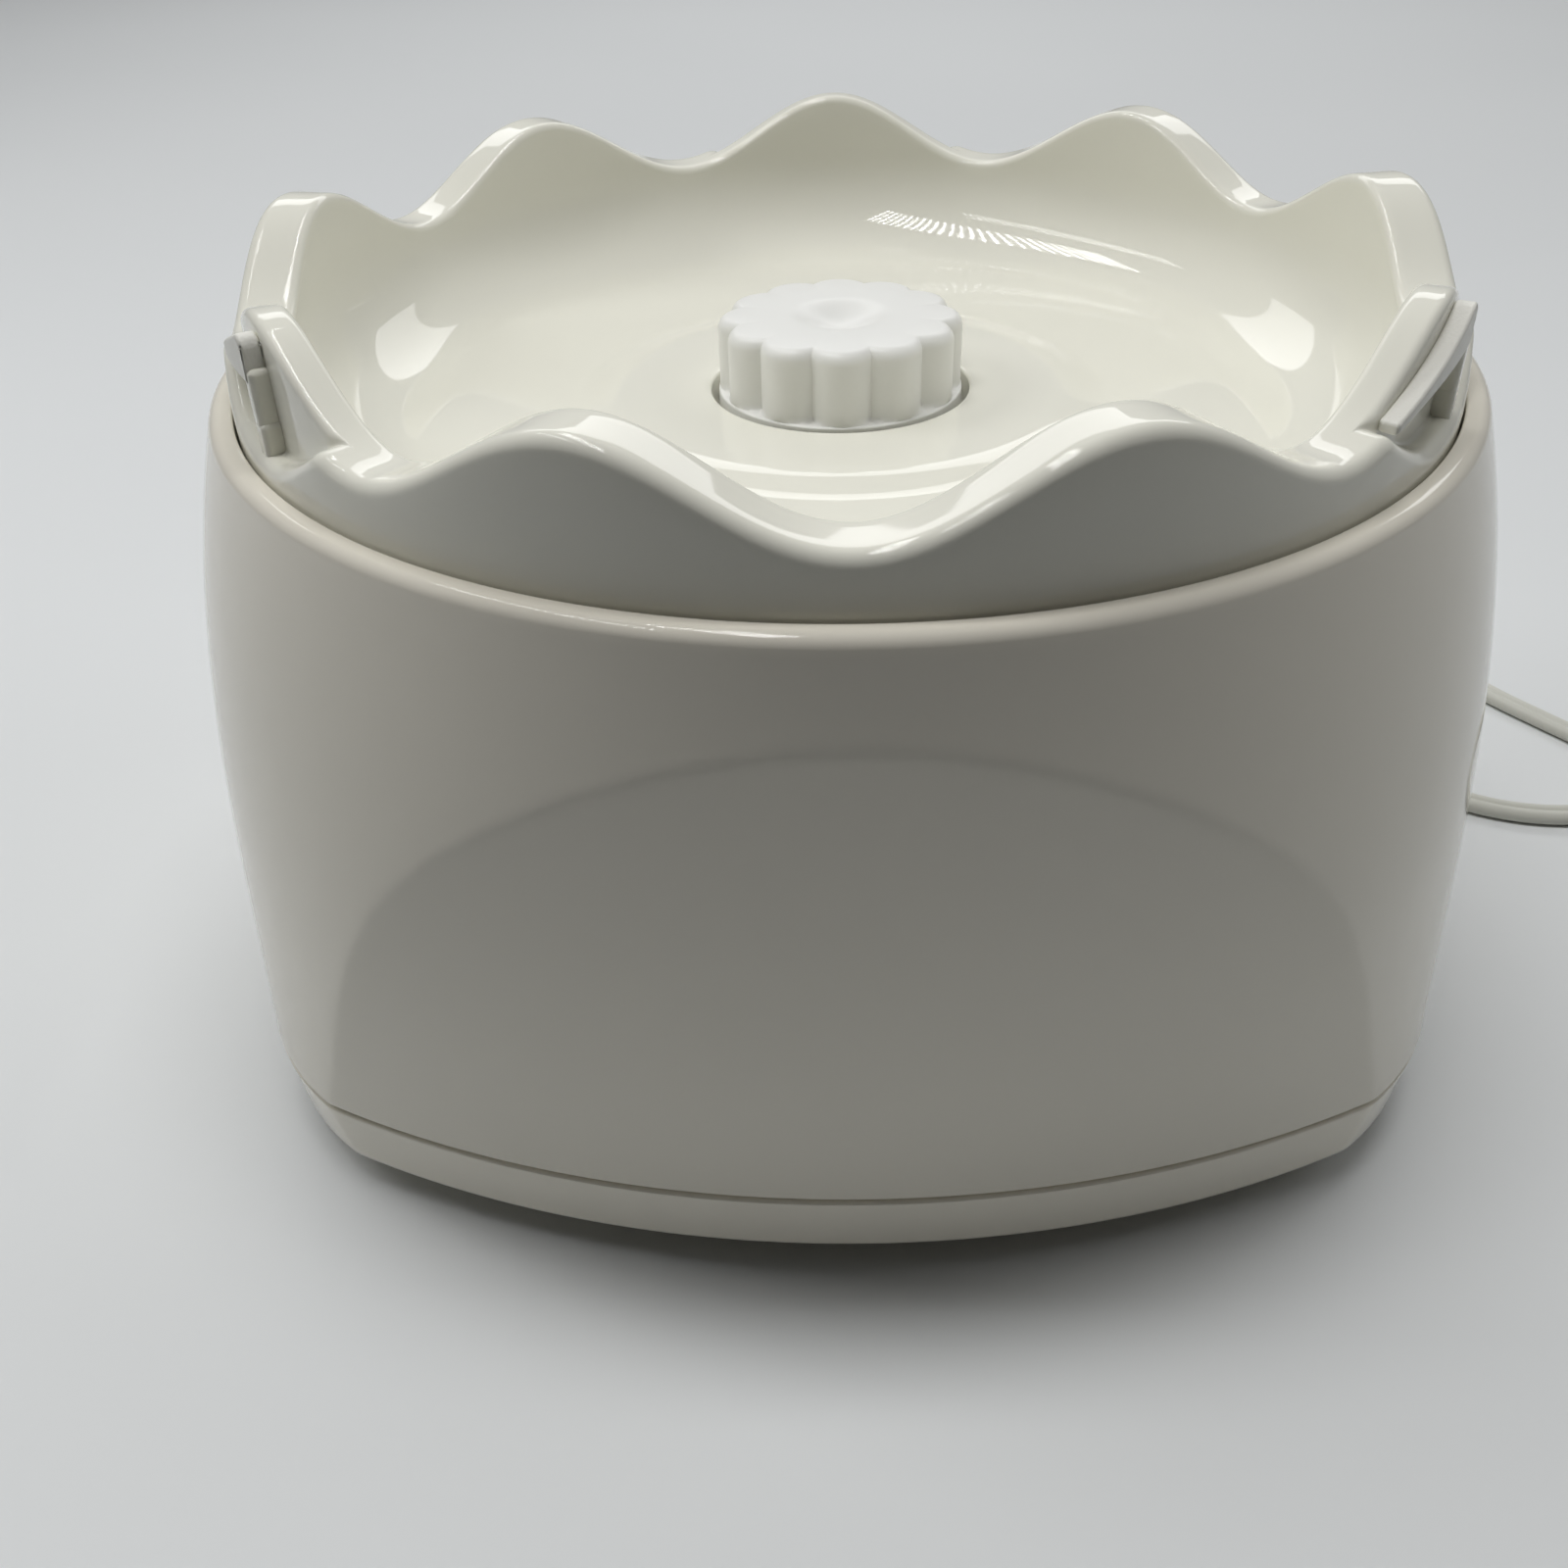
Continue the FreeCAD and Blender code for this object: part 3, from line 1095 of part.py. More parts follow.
def leaving_arc(start, heading, end):
    """Arc that leaves a point along a heading and ends at another point."""
    chord = end - start
    along = unit(chord)
    across = heading - along * heading.dot(along)
    lean = heading.getAngle(along)
    bulge = unit(across) * (chord.Length / 2 * math.tan(lean / 2))
    return arc(start, start + chord * 0.5 + bulge, end)


def biarc(start, heading, end, last_heading):
    """Two arcs that meet smoothly and keep both end headings."""
    chord = end - start
    both = heading + last_heading
    spread = 2 * (1 - heading.dot(last_heading))
    reach = (-chord.dot(both) + math.sqrt(chord.dot(both) ** 2 + spread * chord.dot(chord))) / spread
    middle = (start + heading * reach + end - last_heading * reach) * 0.5
    first = leaving_arc(start, heading, middle)
    second = leaving_arc(end, last_heading * -1, middle)
    second_middle = second.valueAt((second.FirstParameter + second.LastParameter) / 2)
    return [first, arc(middle, second_middle, end)]


coil_start = coil_point(0)
start_heading = coil_heading(0.0005)
start_heading = unit(V(start_heading.x, start_heading.y, 0))
coil_end = coil_point(COIL_TURNS)
end_heading = coil_heading(COIL_TURNS - 0.0005)
end_heading = unit(V(end_heading.x, end_heading.y, 0))
coil_entry = coil_start - start_heading * COIL_LEAD_IN
coil_exit = coil_end + end_heading * COIL_TAIL
coil_edges = [line(coil_entry, coil_start)]
quarters = int(COIL_TURNS * 4)
for i in range(quarters):
    a = i / 4.0
    b = (i + 1) / 4.0
    heading_a = start_heading if i == 0 else coil_heading(a)
    heading_b = end_heading if i == quarters - 1 else coil_heading(b)
    coil_edges = coil_edges + biarc(coil_point(a), heading_a, coil_point(b), heading_b)
coil_edges.append(line(coil_end, coil_exit))
coil_wire = Part.Wire(coil_edges)
coil = cord_along(coil_wire, coil_entry, start_heading)
add("cord_coil", coil)

samples = coil_wire.discretize(Distance=2.0)
nearest = 1000.0
for i, a in enumerate(samples):
    for b in samples[i + 12:]:
        nearest = min(nearest, (a - b).Length)
print("coil: least gap between turns", round(nearest - CORD_DIAMETER, 2))

route = [
    V(EXIT_X, BOOT_END, EXIT_HEIGHT),
    V(EXIT_X, BOOT_END + 13, EXIT_HEIGHT),
    V(EXIT_X + 6, BOOT_END + 27, 22),
    V(EXIT_X + 19, BOOT_END + 37, 9),
    V(EXIT_X + 38, BOOT_END + 38, CORD_REST),
    V(97, 142, CORD_REST),
    V(108, 125, CORD_REST),
    V(114, 105, CORD_REST),
    V(117, 84, CORD_REST),
    V(119, 64, CORD_REST),
    V(123, 46, CORD_REST),
    V(132, 32, CORD_REST),
    V(146, 25.5, CORD_REST),
    V(161, 25, CORD_REST),
    V(172.5, 35, CORD_REST),
    V(173.5, 50.5, CORD_REST),
    V(164.5, 62.5, CORD_REST),
    V(155.5, 75, CORD_REST),
    V(148, 91, CORD_REST),
    V(142, 109, CORD_REST),
    V(134, 128, CORD_REST),
    V(122, 146, CORD_REST),
    V(106, 162, CORD_REST),
    V(86, 175, CORD_REST),
    V(62, 185, CORD_REST),
]
route.append(coil_entry - start_heading * COIL_RUN_IN)
route.append(coil_entry)
lead_wire, lead_radii = bent_route(route)
lead = cord_along(lead_wire, route[0], unit(route[1] - route[0]))
add("cord_lead", lead)
print("cord radii", lead_radii)
print("lead length", round(lead_wire.Length, 1), "coil length", round(coil_wire.Length, 1))
section_area = math.pi * CORD_DIAMETER ** 2 / 4
print("lead volume ratio", round(lead.Volume / (section_area * lead_wire.Length), 3))
print("coil volume ratio", round(coil.Volume / (section_area * coil_wire.Length), 3))

tie_turn = (TIE_AROUND_COIL - 90) / 360.0
passes = [coil_radius(tie_turn + i) for i in range(1, int(COIL_TURNS) + 1)]
tie_in = min(passes) - CORD_DIAMETER / 2 - TIE_EASE
tie_out = max(passes) + CORD_DIAMETER / 2 + TIE_EASE
tie_low = COIL_REST - CORD_DIAMETER / 2 - 0.15
tie_high = coil_top + CORD_DIAMETER / 2 + 0.15
half = TIE_WIDTH / 2
wrap = TIE_THICKNESS
tie = box(tie_in - wrap, tie_out + wrap, -half, half, tie_low - wrap, tie_high + wrap)
tie = tie.cut(box(tie_in, tie_out, -half - 1, half + 1, tie_low, tie_high))
tie = turned(tie, TIE_AROUND_COIL)
tie.translate(V(COIL_X, COIL_Y, 0))
add("cord_tie", tie)


def plug_section(along, half_wide, half_high):
    corners = []
    corner = min(PLUG_ROUND, half_wide, half_high)
    spots = [(1, 1), (1, -1), (-1, -1), (-1, 1)]
    for side, level in spots:
        near = V(along, side * half_wide, level * (half_high - corner))
        far = V(along, side * (half_wide - corner), level * half_high)
        corners.append((near, far) if side * level < 0 else (far, near))
    points = []
    for first, last in corners:
        points.append(first)
        points.append(last)
    points.append(points[0])
    return Part.makePolygon(points)


plug_half = coil_top - 0.05
plug = Part.makeLoft([
    plug_section(0, PLUG_BACK_WIDTH / 2, PLUG_BACK_HEIGHT / 2),
    plug_section(PLUG_TAPER, PLUG_WIDTH / 2, plug_half),
    plug_section(PLUG_LENGTH, PLUG_WIDTH / 2, plug_half),
], True, True)
blades = []
for side in (1, -1):
    y = side * BLADE_SPACING / 2
    half_thick = BLADE_THICKNESS / 2
    half_wide = BLADE_WIDTH / 2
    tip = PLUG_LENGTH + BLADE_LENGTH
    blades.append(box(PLUG_LENGTH, tip, y - half_thick, y + half_thick, -half_wide, half_wide))
plug_turn = math.degrees(math.atan2(end_heading.y, end_heading.x))
for name, shape in (("plug_body", plug), ("plug_blades", Part.makeCompound(blades))):
    placed = turned(shape, plug_turn)
    placed.translate(coil_exit)
    add(name, placed)

os.makedirs("parts", exist_ok=True)
for name, shape in nodes.items():
    if not shape.isValid():
        print("not valid:", name)
    if len(shape.Solids) != 1:
        print("solids in", name, len(shape.Solids))
    shape.exportStep("parts/" + name + ".step")
print("pieces", len(nodes))
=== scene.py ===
# %% [markdown]
# This lesson dresses the motor base of a bowl-type frozen-dessert maker: a gloss white barrel, a tray
# with a waved rim, a fluted coupling and a flat twin cord. The CAD model gives the frame and never moves.
# Here each surface that is seen gets a finer mesh and a finish, in metres, in the same place as its CAD
# solid.

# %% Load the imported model
import math
import bpy
import numpy as np
from mathutils import Matrix, Vector


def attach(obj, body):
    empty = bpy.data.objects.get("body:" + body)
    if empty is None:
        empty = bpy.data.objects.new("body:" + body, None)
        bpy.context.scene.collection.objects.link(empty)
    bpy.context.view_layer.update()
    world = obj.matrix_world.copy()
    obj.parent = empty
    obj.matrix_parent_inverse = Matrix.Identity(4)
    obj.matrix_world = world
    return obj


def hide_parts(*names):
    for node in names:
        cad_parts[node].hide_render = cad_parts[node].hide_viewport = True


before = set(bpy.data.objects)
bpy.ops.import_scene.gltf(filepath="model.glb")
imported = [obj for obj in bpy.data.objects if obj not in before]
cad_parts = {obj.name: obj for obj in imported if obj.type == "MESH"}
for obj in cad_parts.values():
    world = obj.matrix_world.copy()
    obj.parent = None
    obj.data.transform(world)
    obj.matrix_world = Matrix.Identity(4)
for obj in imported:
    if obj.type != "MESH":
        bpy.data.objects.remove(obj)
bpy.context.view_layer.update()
MM = 0.001

# %% [markdown]
# The camera comes first, so that every later choice can be judged in the photograph's own view. Its place
# and lens were found from the round rim, the coupling and the seam. A rotation matrix from the three view
# axes is surer than angles, because its columns can be checked one by one.

# %% Camera at the photograph's place
def add_object(name, data):
    """A new object in the scene, from its mesh, curve, lens or lamp."""
    made = bpy.data.objects.new(name, data)
    bpy.context.scene.collection.objects.link(made)
    return made


CAMERA_PLACE = Vector((-0.0035, -0.2404, 0.1976))
VIEW_FORWARD = Vector((-0.025, 0.8187, -0.5736)).normalized()
VIEW_UP_HINT = Vector((0.0093, 0.574, 0.8188))
LENS = 35.1

view_right = VIEW_FORWARD.cross(VIEW_UP_HINT).normalized()
view_up = view_right.cross(VIEW_FORWARD)
lens = bpy.data.cameras.new("photo_camera")
lens.lens = LENS
lens.sensor_width = 36.0
lens.clip_start = 0.01
camera = add_object("photo_camera", lens)
axes = Matrix((view_right, view_up, -VIEW_FORWARD)).transposed().to_4x4()
camera.matrix_world = Matrix.Translation(CAMERA_PLACE) @ axes
bpy.context.scene.camera = camera
bpy.context.scene.view_settings.view_transform = "Standard"
print("camera", tuple(round(v, 4) for v in camera.location))

# %% [markdown]
# The mains cord is a flat twin lead: two cores side by side with a groove between them. A curve keeps it
# one smooth line. Its control points are the CAD route's points, and a small profile of two lobes is
# swept along it. The twist is held to the vertical, so the flat face lies on the table all the way.

# %% Cord route
CORD_WIDTH = 5.2
CORE_RADIUS = 1.5
CORE_OFFSET = CORD_WIDTH / 2 - CORE_RADIUS
CORD_REST = CORE_RADIUS + 0.05
BOOT_TIP = (40.0, 113.0, 31.0)
DROP = [(40, 126, 31), (46, 140, 22), (59, 150, 9), (78, 151, CORD_REST)]
LOOP = [
    (97, 142), (108, 125), (114, 105), (117, 84), (119, 64), (123, 46), (132, 32), (146, 25.5), (161, 25),
    (172.5, 35), (173.5, 50.5), (164.5, 62.5), (155.5, 75), (148, 91), (142, 109), (134, 128), (122, 146),
    (106, 162), (86, 175), (62, 185),
]
COIL_CENTRE = (-15.0, 160.0)
COIL_RADIUS = 34.5
COIL_PITCH = 6.0
COIL_TURNS = 3
COIL_LOW = 2.6
COIL_LAYER = 3.5
TURN_OVER = 0.25
POINTS_PER_TURN = 16
CONTROL_OUT = math.cos(math.pi / POINTS_PER_TURN) ** -0.75
COIL_END = Vector((-41.0, 194.5, 9.5))


def ease(share):
    """A share from 0 to 1 that starts and ends gently."""
    return share * share * (3 - 2 * share)


def coil_point(turns):
    """Spiral inwards on the table, then outwards again on top, as a lead is wound by hand."""
    half = COIL_TURNS / 2
    away = abs(turns - half)
    if away < TURN_OVER:
        away = (away ** 2 / TURN_OVER + TURN_OVER) / 2
    radius = (COIL_RADIUS + COIL_PITCH * (away - half)) * CONTROL_OUT
    share = min(1.0, max(0.0, (turns - half) * 2 + 0.5))
    angle = math.radians(90 + 360 * turns)
    height = COIL_LOW + COIL_LAYER * ease(share)
    return (COIL_CENTRE[0] + radius * math.cos(angle), COIL_CENTRE[1] + radius * math.sin(angle), height)


route = [BOOT_TIP] + DROP + [(x, y, CORD_REST) for x, y in LOOP]
start_y = COIL_CENTRE[1] + COIL_RADIUS
route += [(30, start_y - 1.5, CORD_REST), (11, start_y, CORD_REST + 0.3)]
route.append((-3, start_y + 0.6, COIL_LOW - 0.3))
route += [coil_point(i / POINTS_PER_TURN) for i in range(1, COIL_TURNS * POINTS_PER_TURN)]
tail_low = COIL_LOW + COIL_LAYER
route += [(-15, start_y + 0.5, tail_low + 0.3), (-29, start_y, (tail_low + COIL_END.z) / 2)]
route.append(tuple(COIL_END))
print("cord route points", len(route))

# %% Cord as one spline
def closed_outline(name, points):
    """A small closed poly curve that a cord sweeps along its route."""
    curve = bpy.data.curves.new(name, "CURVE")
    curve.dimensions = "2D"
    spline = curve.splines.new("POLY")
    spline.points.add(len(points) - 1)
    for point, (x, y) in zip(spline.points, points):
        point.co = (x * MM, y * MM, 0, 1)
    spline.use_cyclic_u = True
    outline = add_object(name, curve)
    outline.hide_render = True
    return outline


TWIN_SIDES = 40
twin_points = []
for i in range(TWIN_SIDES):
    turn = -2 * math.pi * i / TWIN_SIDES
    reach = CORE_OFFSET * abs(math.cos(turn))
    reach += math.sqrt(CORE_RADIUS ** 2 - (CORE_OFFSET * math.sin(turn)) ** 2)
    twin_points.append((reach * math.cos(turn), reach * math.sin(turn)))
twin_outline = closed_outline("twin_core_outline", twin_points)

cord_curve = bpy.data.curves.new("mains_cord", "CURVE")
cord_curve.dimensions = "3D"
cord_curve.twist_mode = "Z_UP"
cord_curve.resolution_u = 6
cord_line = cord_curve.splines.new("NURBS")
cord_line.points.add(len(route) - 1)
for point, (x, y, z) in zip(cord_line.points, route):
    point.co = (x * MM, y * MM, z * MM, 1)
cord_line.order_u = 3
cord_line.use_endpoint_u = True
cord_curve.bevel_mode = "OBJECT"
cord_curve.bevel_object = twin_outline
cord_curve.use_fill_caps = True
mains_cord = add_object("mains_cord", cord_curve)

# %% [markdown]
# Most finishes here are moulded plastic. A moulded skin is never one flat colour: the tint drifts a
# little, the gloss has faint haze, the surface has a very low orange peel, and dust sits on it. More than
# one material shows this, so it is one node group with named sockets, and each material places it with
# its own values.

# %% Node helpers
def add_node(tree, kind, **settings):
    """A new shader node with its properties set, and its inputs set by name through the key inputs."""
    made = tree.nodes.new("ShaderNode" + kind)
    values = settings.pop("inputs", {})
    for name, value in settings.items():
        setattr(made, name, value)
    for name, value in values.items():
        made.inputs[name].default_value = value
    return made


def colour_mix(tree, first=(0, 0, 0, 1), second=(1, 1, 1, 1)):
    """A colour mix node and its four sockets: share, first colour, second colour and result."""
    made = add_node(tree, "Mix", data_type="RGBA")
    ends = {socket.identifier: socket for socket in list(made.inputs) + list(made.outputs)}
    ends["A_Color"].default_value = first
    ends["B_Color"].default_value = second
    return ends["Factor_Float"], ends["A_Color"], ends["B_Color"], ends["Result_Color"]


def wire(tree, source, target):
    tree.links.new(source, target)


def wire_all(tree, pairs):
    for source, target in pairs:
        wire(tree, source, target)


def new_group(name, inputs, outputs):
    """An empty shader group. Inputs are (name, kind, value), outputs are (name, kind)."""
    group = bpy.data.node_groups.new(name, "ShaderNodeTree")
    for label, kind, value in inputs:
        socket = group.interface.new_socket(label, in_out="INPUT", socket_type=kind)
        socket.default_value = value
    for label, kind in outputs:
        group.interface.new_socket(label, in_out="OUTPUT", socket_type=kind)
    return group, group.nodes.new("NodeGroupInput"), group.nodes.new("NodeGroupOutput")


COLOUR = "NodeSocketColor"
NUMBER = "NodeSocketFloat"

# %% Moulded skin group
skin_group, skin_in, skin_out = new_group(
    "moulded_skin",
    [
        ("Plastic", COLOUR, (0.8, 0.8, 0.75, 1)), ("Drift", NUMBER, 0.03), ("Gloss", NUMBER, 0.1),
        ("Haze", NUMBER, 0.05), ("Peel Scale", NUMBER, 260.0), ("Dust", NUMBER, 0.1),
    ],
    [("Colour", COLOUR), ("Roughness", NUMBER), ("Height", NUMBER)],
)
place = add_node(skin_group, "TexCoord")
drift = add_node(skin_group, "TexNoise", inputs={"Scale": 14.0, "Detail": 3.0})
haze = add_node(skin_group, "TexNoise", inputs={"Scale": 48.0, "Detail": 5.0, "Roughness": 0.62})
peel = add_node(skin_group, "TexNoise", inputs={"Detail": 1.0})
flecks = add_node(skin_group, "TexVoronoi", inputs={"Scale": 95.0})
chance = add_node(skin_group, "SeparateColor")
small = add_node(skin_group, "Math", operation="LESS_THAN", inputs={1: 0.028})
rare = add_node(skin_group, "Math", operation="LESS_THAN")
speck = add_node(skin_group, "Math", operation="MULTIPLY")
darken = add_node(skin_group, "Math", operation="MULTIPLY_ADD", inputs={2: 1.0})
drift_middle = add_node(skin_group, "Math", operation="SUBTRACT", inputs={1: 0.5})
tinted = add_node(skin_group, "VectorMath", operation="SCALE")
dust_share, clean_colour, _, dusty = colour_mix(skin_group, second=(0.24, 0.2, 0.15, 1))
haze_middle = add_node(skin_group, "Math", operation="SUBTRACT", inputs={1: 0.5})
rough = add_node(skin_group, "Math", operation="MULTIPLY_ADD")
rougher = add_node(skin_group, "Math", operation="MULTIPLY_ADD", inputs={1: 0.4}, use_clamp=True)
for texture in (drift, haze, peel, flecks):
    wire(skin_group, place.outputs["Object"], texture.inputs["Vector"])
wire_all(skin_group, [
    (skin_in.outputs["Peel Scale"], peel.inputs["Scale"]),
    (flecks.outputs["Distance"], small.inputs[0]),
    (flecks.outputs["Color"], chance.inputs[0]),
    (chance.outputs["Red"], rare.inputs[0]),
    (skin_in.outputs["Dust"], rare.inputs[1]),
    (small.outputs[0], speck.inputs[0]),
    (rare.outputs[0], speck.inputs[1]),
    (drift.outputs["Fac"], drift_middle.inputs[0]),
    (drift_middle.outputs[0], darken.inputs[0]),
    (skin_in.outputs["Drift"], darken.inputs[1]),
    (skin_in.outputs["Plastic"], tinted.inputs[0]),
    (darken.outputs[0], tinted.inputs["Scale"]),
    (speck.outputs[0], dust_share),
    (tinted.outputs[0], clean_colour),
    (haze.outputs["Fac"], haze_middle.inputs[0]),
    (haze_middle.outputs[0], rough.inputs[0]),
    (skin_in.outputs["Haze"], rough.inputs[1]),
    (skin_in.outputs["Gloss"], rough.inputs[2]),
    (speck.outputs[0], rougher.inputs[0]),
    (rough.outputs[0], rougher.inputs[2]),
    (dusty, skin_out.inputs["Colour"]),
    (rougher.outputs[0], skin_out.inputs["Roughness"]),
    (peel.outputs["Fac"], skin_out.inputs["Height"]),
])
print("group", skin_group.name, len(skin_group.nodes), "nodes")

# %% Metal group
metal_group, metal_in, metal_out = new_group(
    "drawn_metal",
    [
        ("Metal", COLOUR, (0.6, 0.6, 0.6, 1)), ("Gloss", NUMBER, 0.3), ("Streak", NUMBER, 0.12),
        ("Grain Scale", NUMBER, 900.0),
    ],
    [("Colour", COLOUR), ("Roughness", NUMBER), ("Height", NUMBER)],
)
place = add_node(metal_group, "TexCoord")
stretch = add_node(metal_group, "Mapping", inputs={"Scale": (1.0, 1.0, 0.06)})
streak = add_node(metal_group, "TexNoise", inputs={"Detail": 3.0})
stain = add_node(metal_group, "TexNoise", inputs={"Scale": 70.0, "Detail": 4.0})
shade = add_node(metal_group, "MapRange", inputs={"To Min": 0.86, "To Max": 1.06})
tinted = add_node(metal_group, "VectorMath", operation="SCALE")
rough = add_node(metal_group, "Math", operation="MULTIPLY_ADD")
wire_all(metal_group, [
    (place.outputs["Object"], stretch.inputs["Vector"]),
    (place.outputs["Object"], stain.inputs["Vector"]),
    (stretch.outputs["Vector"], streak.inputs["Vector"]),
    (metal_in.outputs["Grain Scale"], streak.inputs["Scale"]),
    (stain.outputs["Fac"], shade.inputs["Value"]),
    (metal_in.outputs["Metal"], tinted.inputs[0]),
    (shade.outputs["Result"], tinted.inputs["Scale"]),
    (streak.outputs["Fac"], rough.inputs[0]),
    (metal_in.outputs["Streak"], rough.inputs[1]),
    (metal_in.outputs["Gloss"], rough.inputs[2]),
    (tinted.outputs[0], metal_out.inputs["Colour"]),
    (rough.outputs[0], metal_out.inputs["Roughness"]),
    (streak.outputs["Fac"], metal_out.inputs["Height"]),
])
print("group", metal_group.name, len(metal_group.nodes), "nodes")

# %% Materials from the groups
def finish_from(group, name, bump, bump_depth, metallic=0.0, **values):
    """A material whose colour, roughness and bump come from one of the two groups."""
    material = bpy.data.materials.new(name)
    material.use_nodes = True
    tree = material.node_tree
    shader = tree.nodes["Principled BSDF"]
    shader.inputs["Metallic"].default_value = metallic
    layer = add_node(tree, "Group", node_tree=group)
    for socket, value in values.items():
        layer.inputs[socket.replace("_", " ")].default_value = value
    relief = add_node(tree, "Bump", inputs={"Strength": bump, "Distance": bump_depth * MM})
    wire_all(tree, [
        (layer.outputs["Colour"], shader.inputs["Base Color"]),
        (layer.outputs["Roughness"], shader.inputs["Roughness"]),
        (layer.outputs["Height"], relief.inputs["Height"]),
        (relief.outputs["Normal"], shader.inputs["Normal"]),
    ])
    return material


def moulded(name, plastic, gloss, haze=0.05, drift=0.05, peel=260.0, dust=0.0, bump=0.12, depth=0.05):
    return finish_from(
        skin_group, name, bump, depth, Plastic=(*plastic, 1), Gloss=gloss, Haze=haze, Drift=drift,
        Peel_Scale=peel, Dust=dust,
    )


def drawn(name, metal, gloss, streak=0.12, grain=900.0):
    return finish_from(
        metal_group, name, 0.15, 0.04, metallic=1.0, Metal=(*metal, 1), Gloss=gloss, Streak=streak,
        Grain_Scale=grain,
    )


CASING_SKIN = {"gloss": 0.055, "haze": 0.03, "dust": 0.035, "peel": 150.0, "bump": 0.03}
casing_gloss = moulded("casing_gloss", (0.80, 0.762, 0.665), **CASING_SKIN)
# The cover is the casing's plastic. Its colour is painted lighter to make up for the shade it sits in just
# above the table.
cover_painted_light_gloss = moulded("cover_painted_light_gloss", (0.885, 0.845, 0.74), **CASING_SKIN)
tray_gloss = moulded(
    "tray_gloss", (0.865, 0.855, 0.76), 0.035, haze=0.012, dust=0.01, peel=150.0, bump=0.02,
)
lug_matte = moulded("lug_top_grain", (0.80, 0.79, 0.73), 0.38, peel=2200.0, bump=0.5, depth=0.12)
coupling_nylon = moulded("coupling_nylon", (0.89, 0.89, 0.855), 0.34, haze=0.1, peel=700.0, bump=0.18)
cord_white = moulded("cord_white", (0.62, 0.62, 0.56), 0.36, peel=900.0, bump=0.2)
boot_white = moulded("boot_white", (0.66, 0.66, 0.62), 0.42, peel=900.0, bump=0.25)
foot_rubber = moulded("rubber_foot", (0.50, 0.50, 0.48), 0.72, haze=0.15, peel=1500.0, bump=0.4)
print("plastic finishes", casing_gloss.name, tray_gloss.name, coupling_nylon.name)

# %% [markdown]
# Round pieces are made as grids of rings: one profile, asked for at many angles round the upright axis,
# and joined by quads. A revolve modifier could do a plain turned shape, but here the radius and the
# height change with the angle, so a grid from formulas gives smooth shading and exact sizes with little
# code.

# %% Ring grids
def make_piece(name, vertices, faces, body, material, slot, sharp=40.0):
    """A shaded mesh object in metres that rides on a CAD body."""
    mesh = bpy.data.meshes.new(name)
    mesh.from_pydata([tuple(v) for v in vertices], [], faces)
    mesh.validate()
    mesh.shade_smooth()
    mesh.set_sharp_from_angle(angle=math.radians(sharp))
    mesh.materials.append(material)
    piece = add_object(name, mesh)
    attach(piece, body)
    return piece


def ring_faces(rows, columns):
    """Quads between neighbouring rings, with the last ring joined to the first, as in a closed profile."""
    faces = []
    for row in range(rows):
        upper = (row + 1) % rows
        for column in range(columns):
            beside = (column + 1) % columns
            faces.append((
                row * columns + column, row * columns + beside,
                upper * columns + beside, upper * columns + column,
            ))
    return faces


def ring_points(rows, turns, x=0.0, y=0.0):
    """Points in metres from rows of (radius, height), each a number or one value for each turn."""
    points = []
    for radius, height in rows:
        radius = np.broadcast_to(radius, turns.shape)
        height = np.broadcast_to(height, turns.shape)
        points.append(np.stack([x + radius * np.sin(turns), y - radius * np.cos(turns), height], axis=1))
    return np.concatenate(points) * MM


def all_turns(count):
    return np.arange(count) * (2 * math.pi / count)


def corner_arc(centre_r, centre_z, radius, first, last, steps):
    """Profile points round a corner, with angles in degrees counted from outwards to upwards."""
    row = []
    for i in range(steps + 1):
        angle = math.radians(first + (last - first) * i / steps)
        row.append((centre_r + radius * math.cos(angle), centre_z + radius * math.sin(angle)))
    return row


def turned_piece(name, rows, turns, body, material, slot, sharp=40.0, x=0.0, y=0.0):
    """A closed profile taken round an upright axis. Its rows run up the outside, so faces look outwards."""
    points = ring_points(rows, turns, x, y)
    return make_piece(name, points, ring_faces(len(rows), turns.size), body, material, slot, sharp)


def quarter(steps, first=1):
    """Steps round a quarter circle, as pairs of how much it is short of one in cosine and in sine."""
    for i in range(first, steps + 1):
        angle = math.pi / 2 * i / steps
        yield 1 - math.cos(angle), 1 - math.sin(angle)


def stack_faces(sections, sides):
    """Quads between stacked outlines of equal count, and one face on the first and on the last of them."""
    faces = []
    for low in range(0, (sections - 1) * sides, sides):
        for k in range(sides):
            beside = (k + 1) % sides
            faces.append((low + k, low + beside, low + sides + beside, low + sides + k))
    top = (sections - 1) * sides
    return faces + [tuple(range(sides - 1, -1, -1)), tuple(range(top, top + sides))]


def shifted(faces, count):
    """Faces whose points come after a number of other points."""
    return [tuple(point + count for point in face) for face in faces]


print("grid of 4 rings of 6:", len(ring_faces(4, 6)), "faces")

# %% [markdown]
# The casing is a barrel on a rounded-rectangle foot. Its plan goes from broad front and rear with tight
# corners at the seam to a plain circle at the lip. Two wide leaning cylinders cut arched facets into
# front and rear. The radius at any angle and height is the smaller of barrel and facet, with a soft edge
# where they meet.

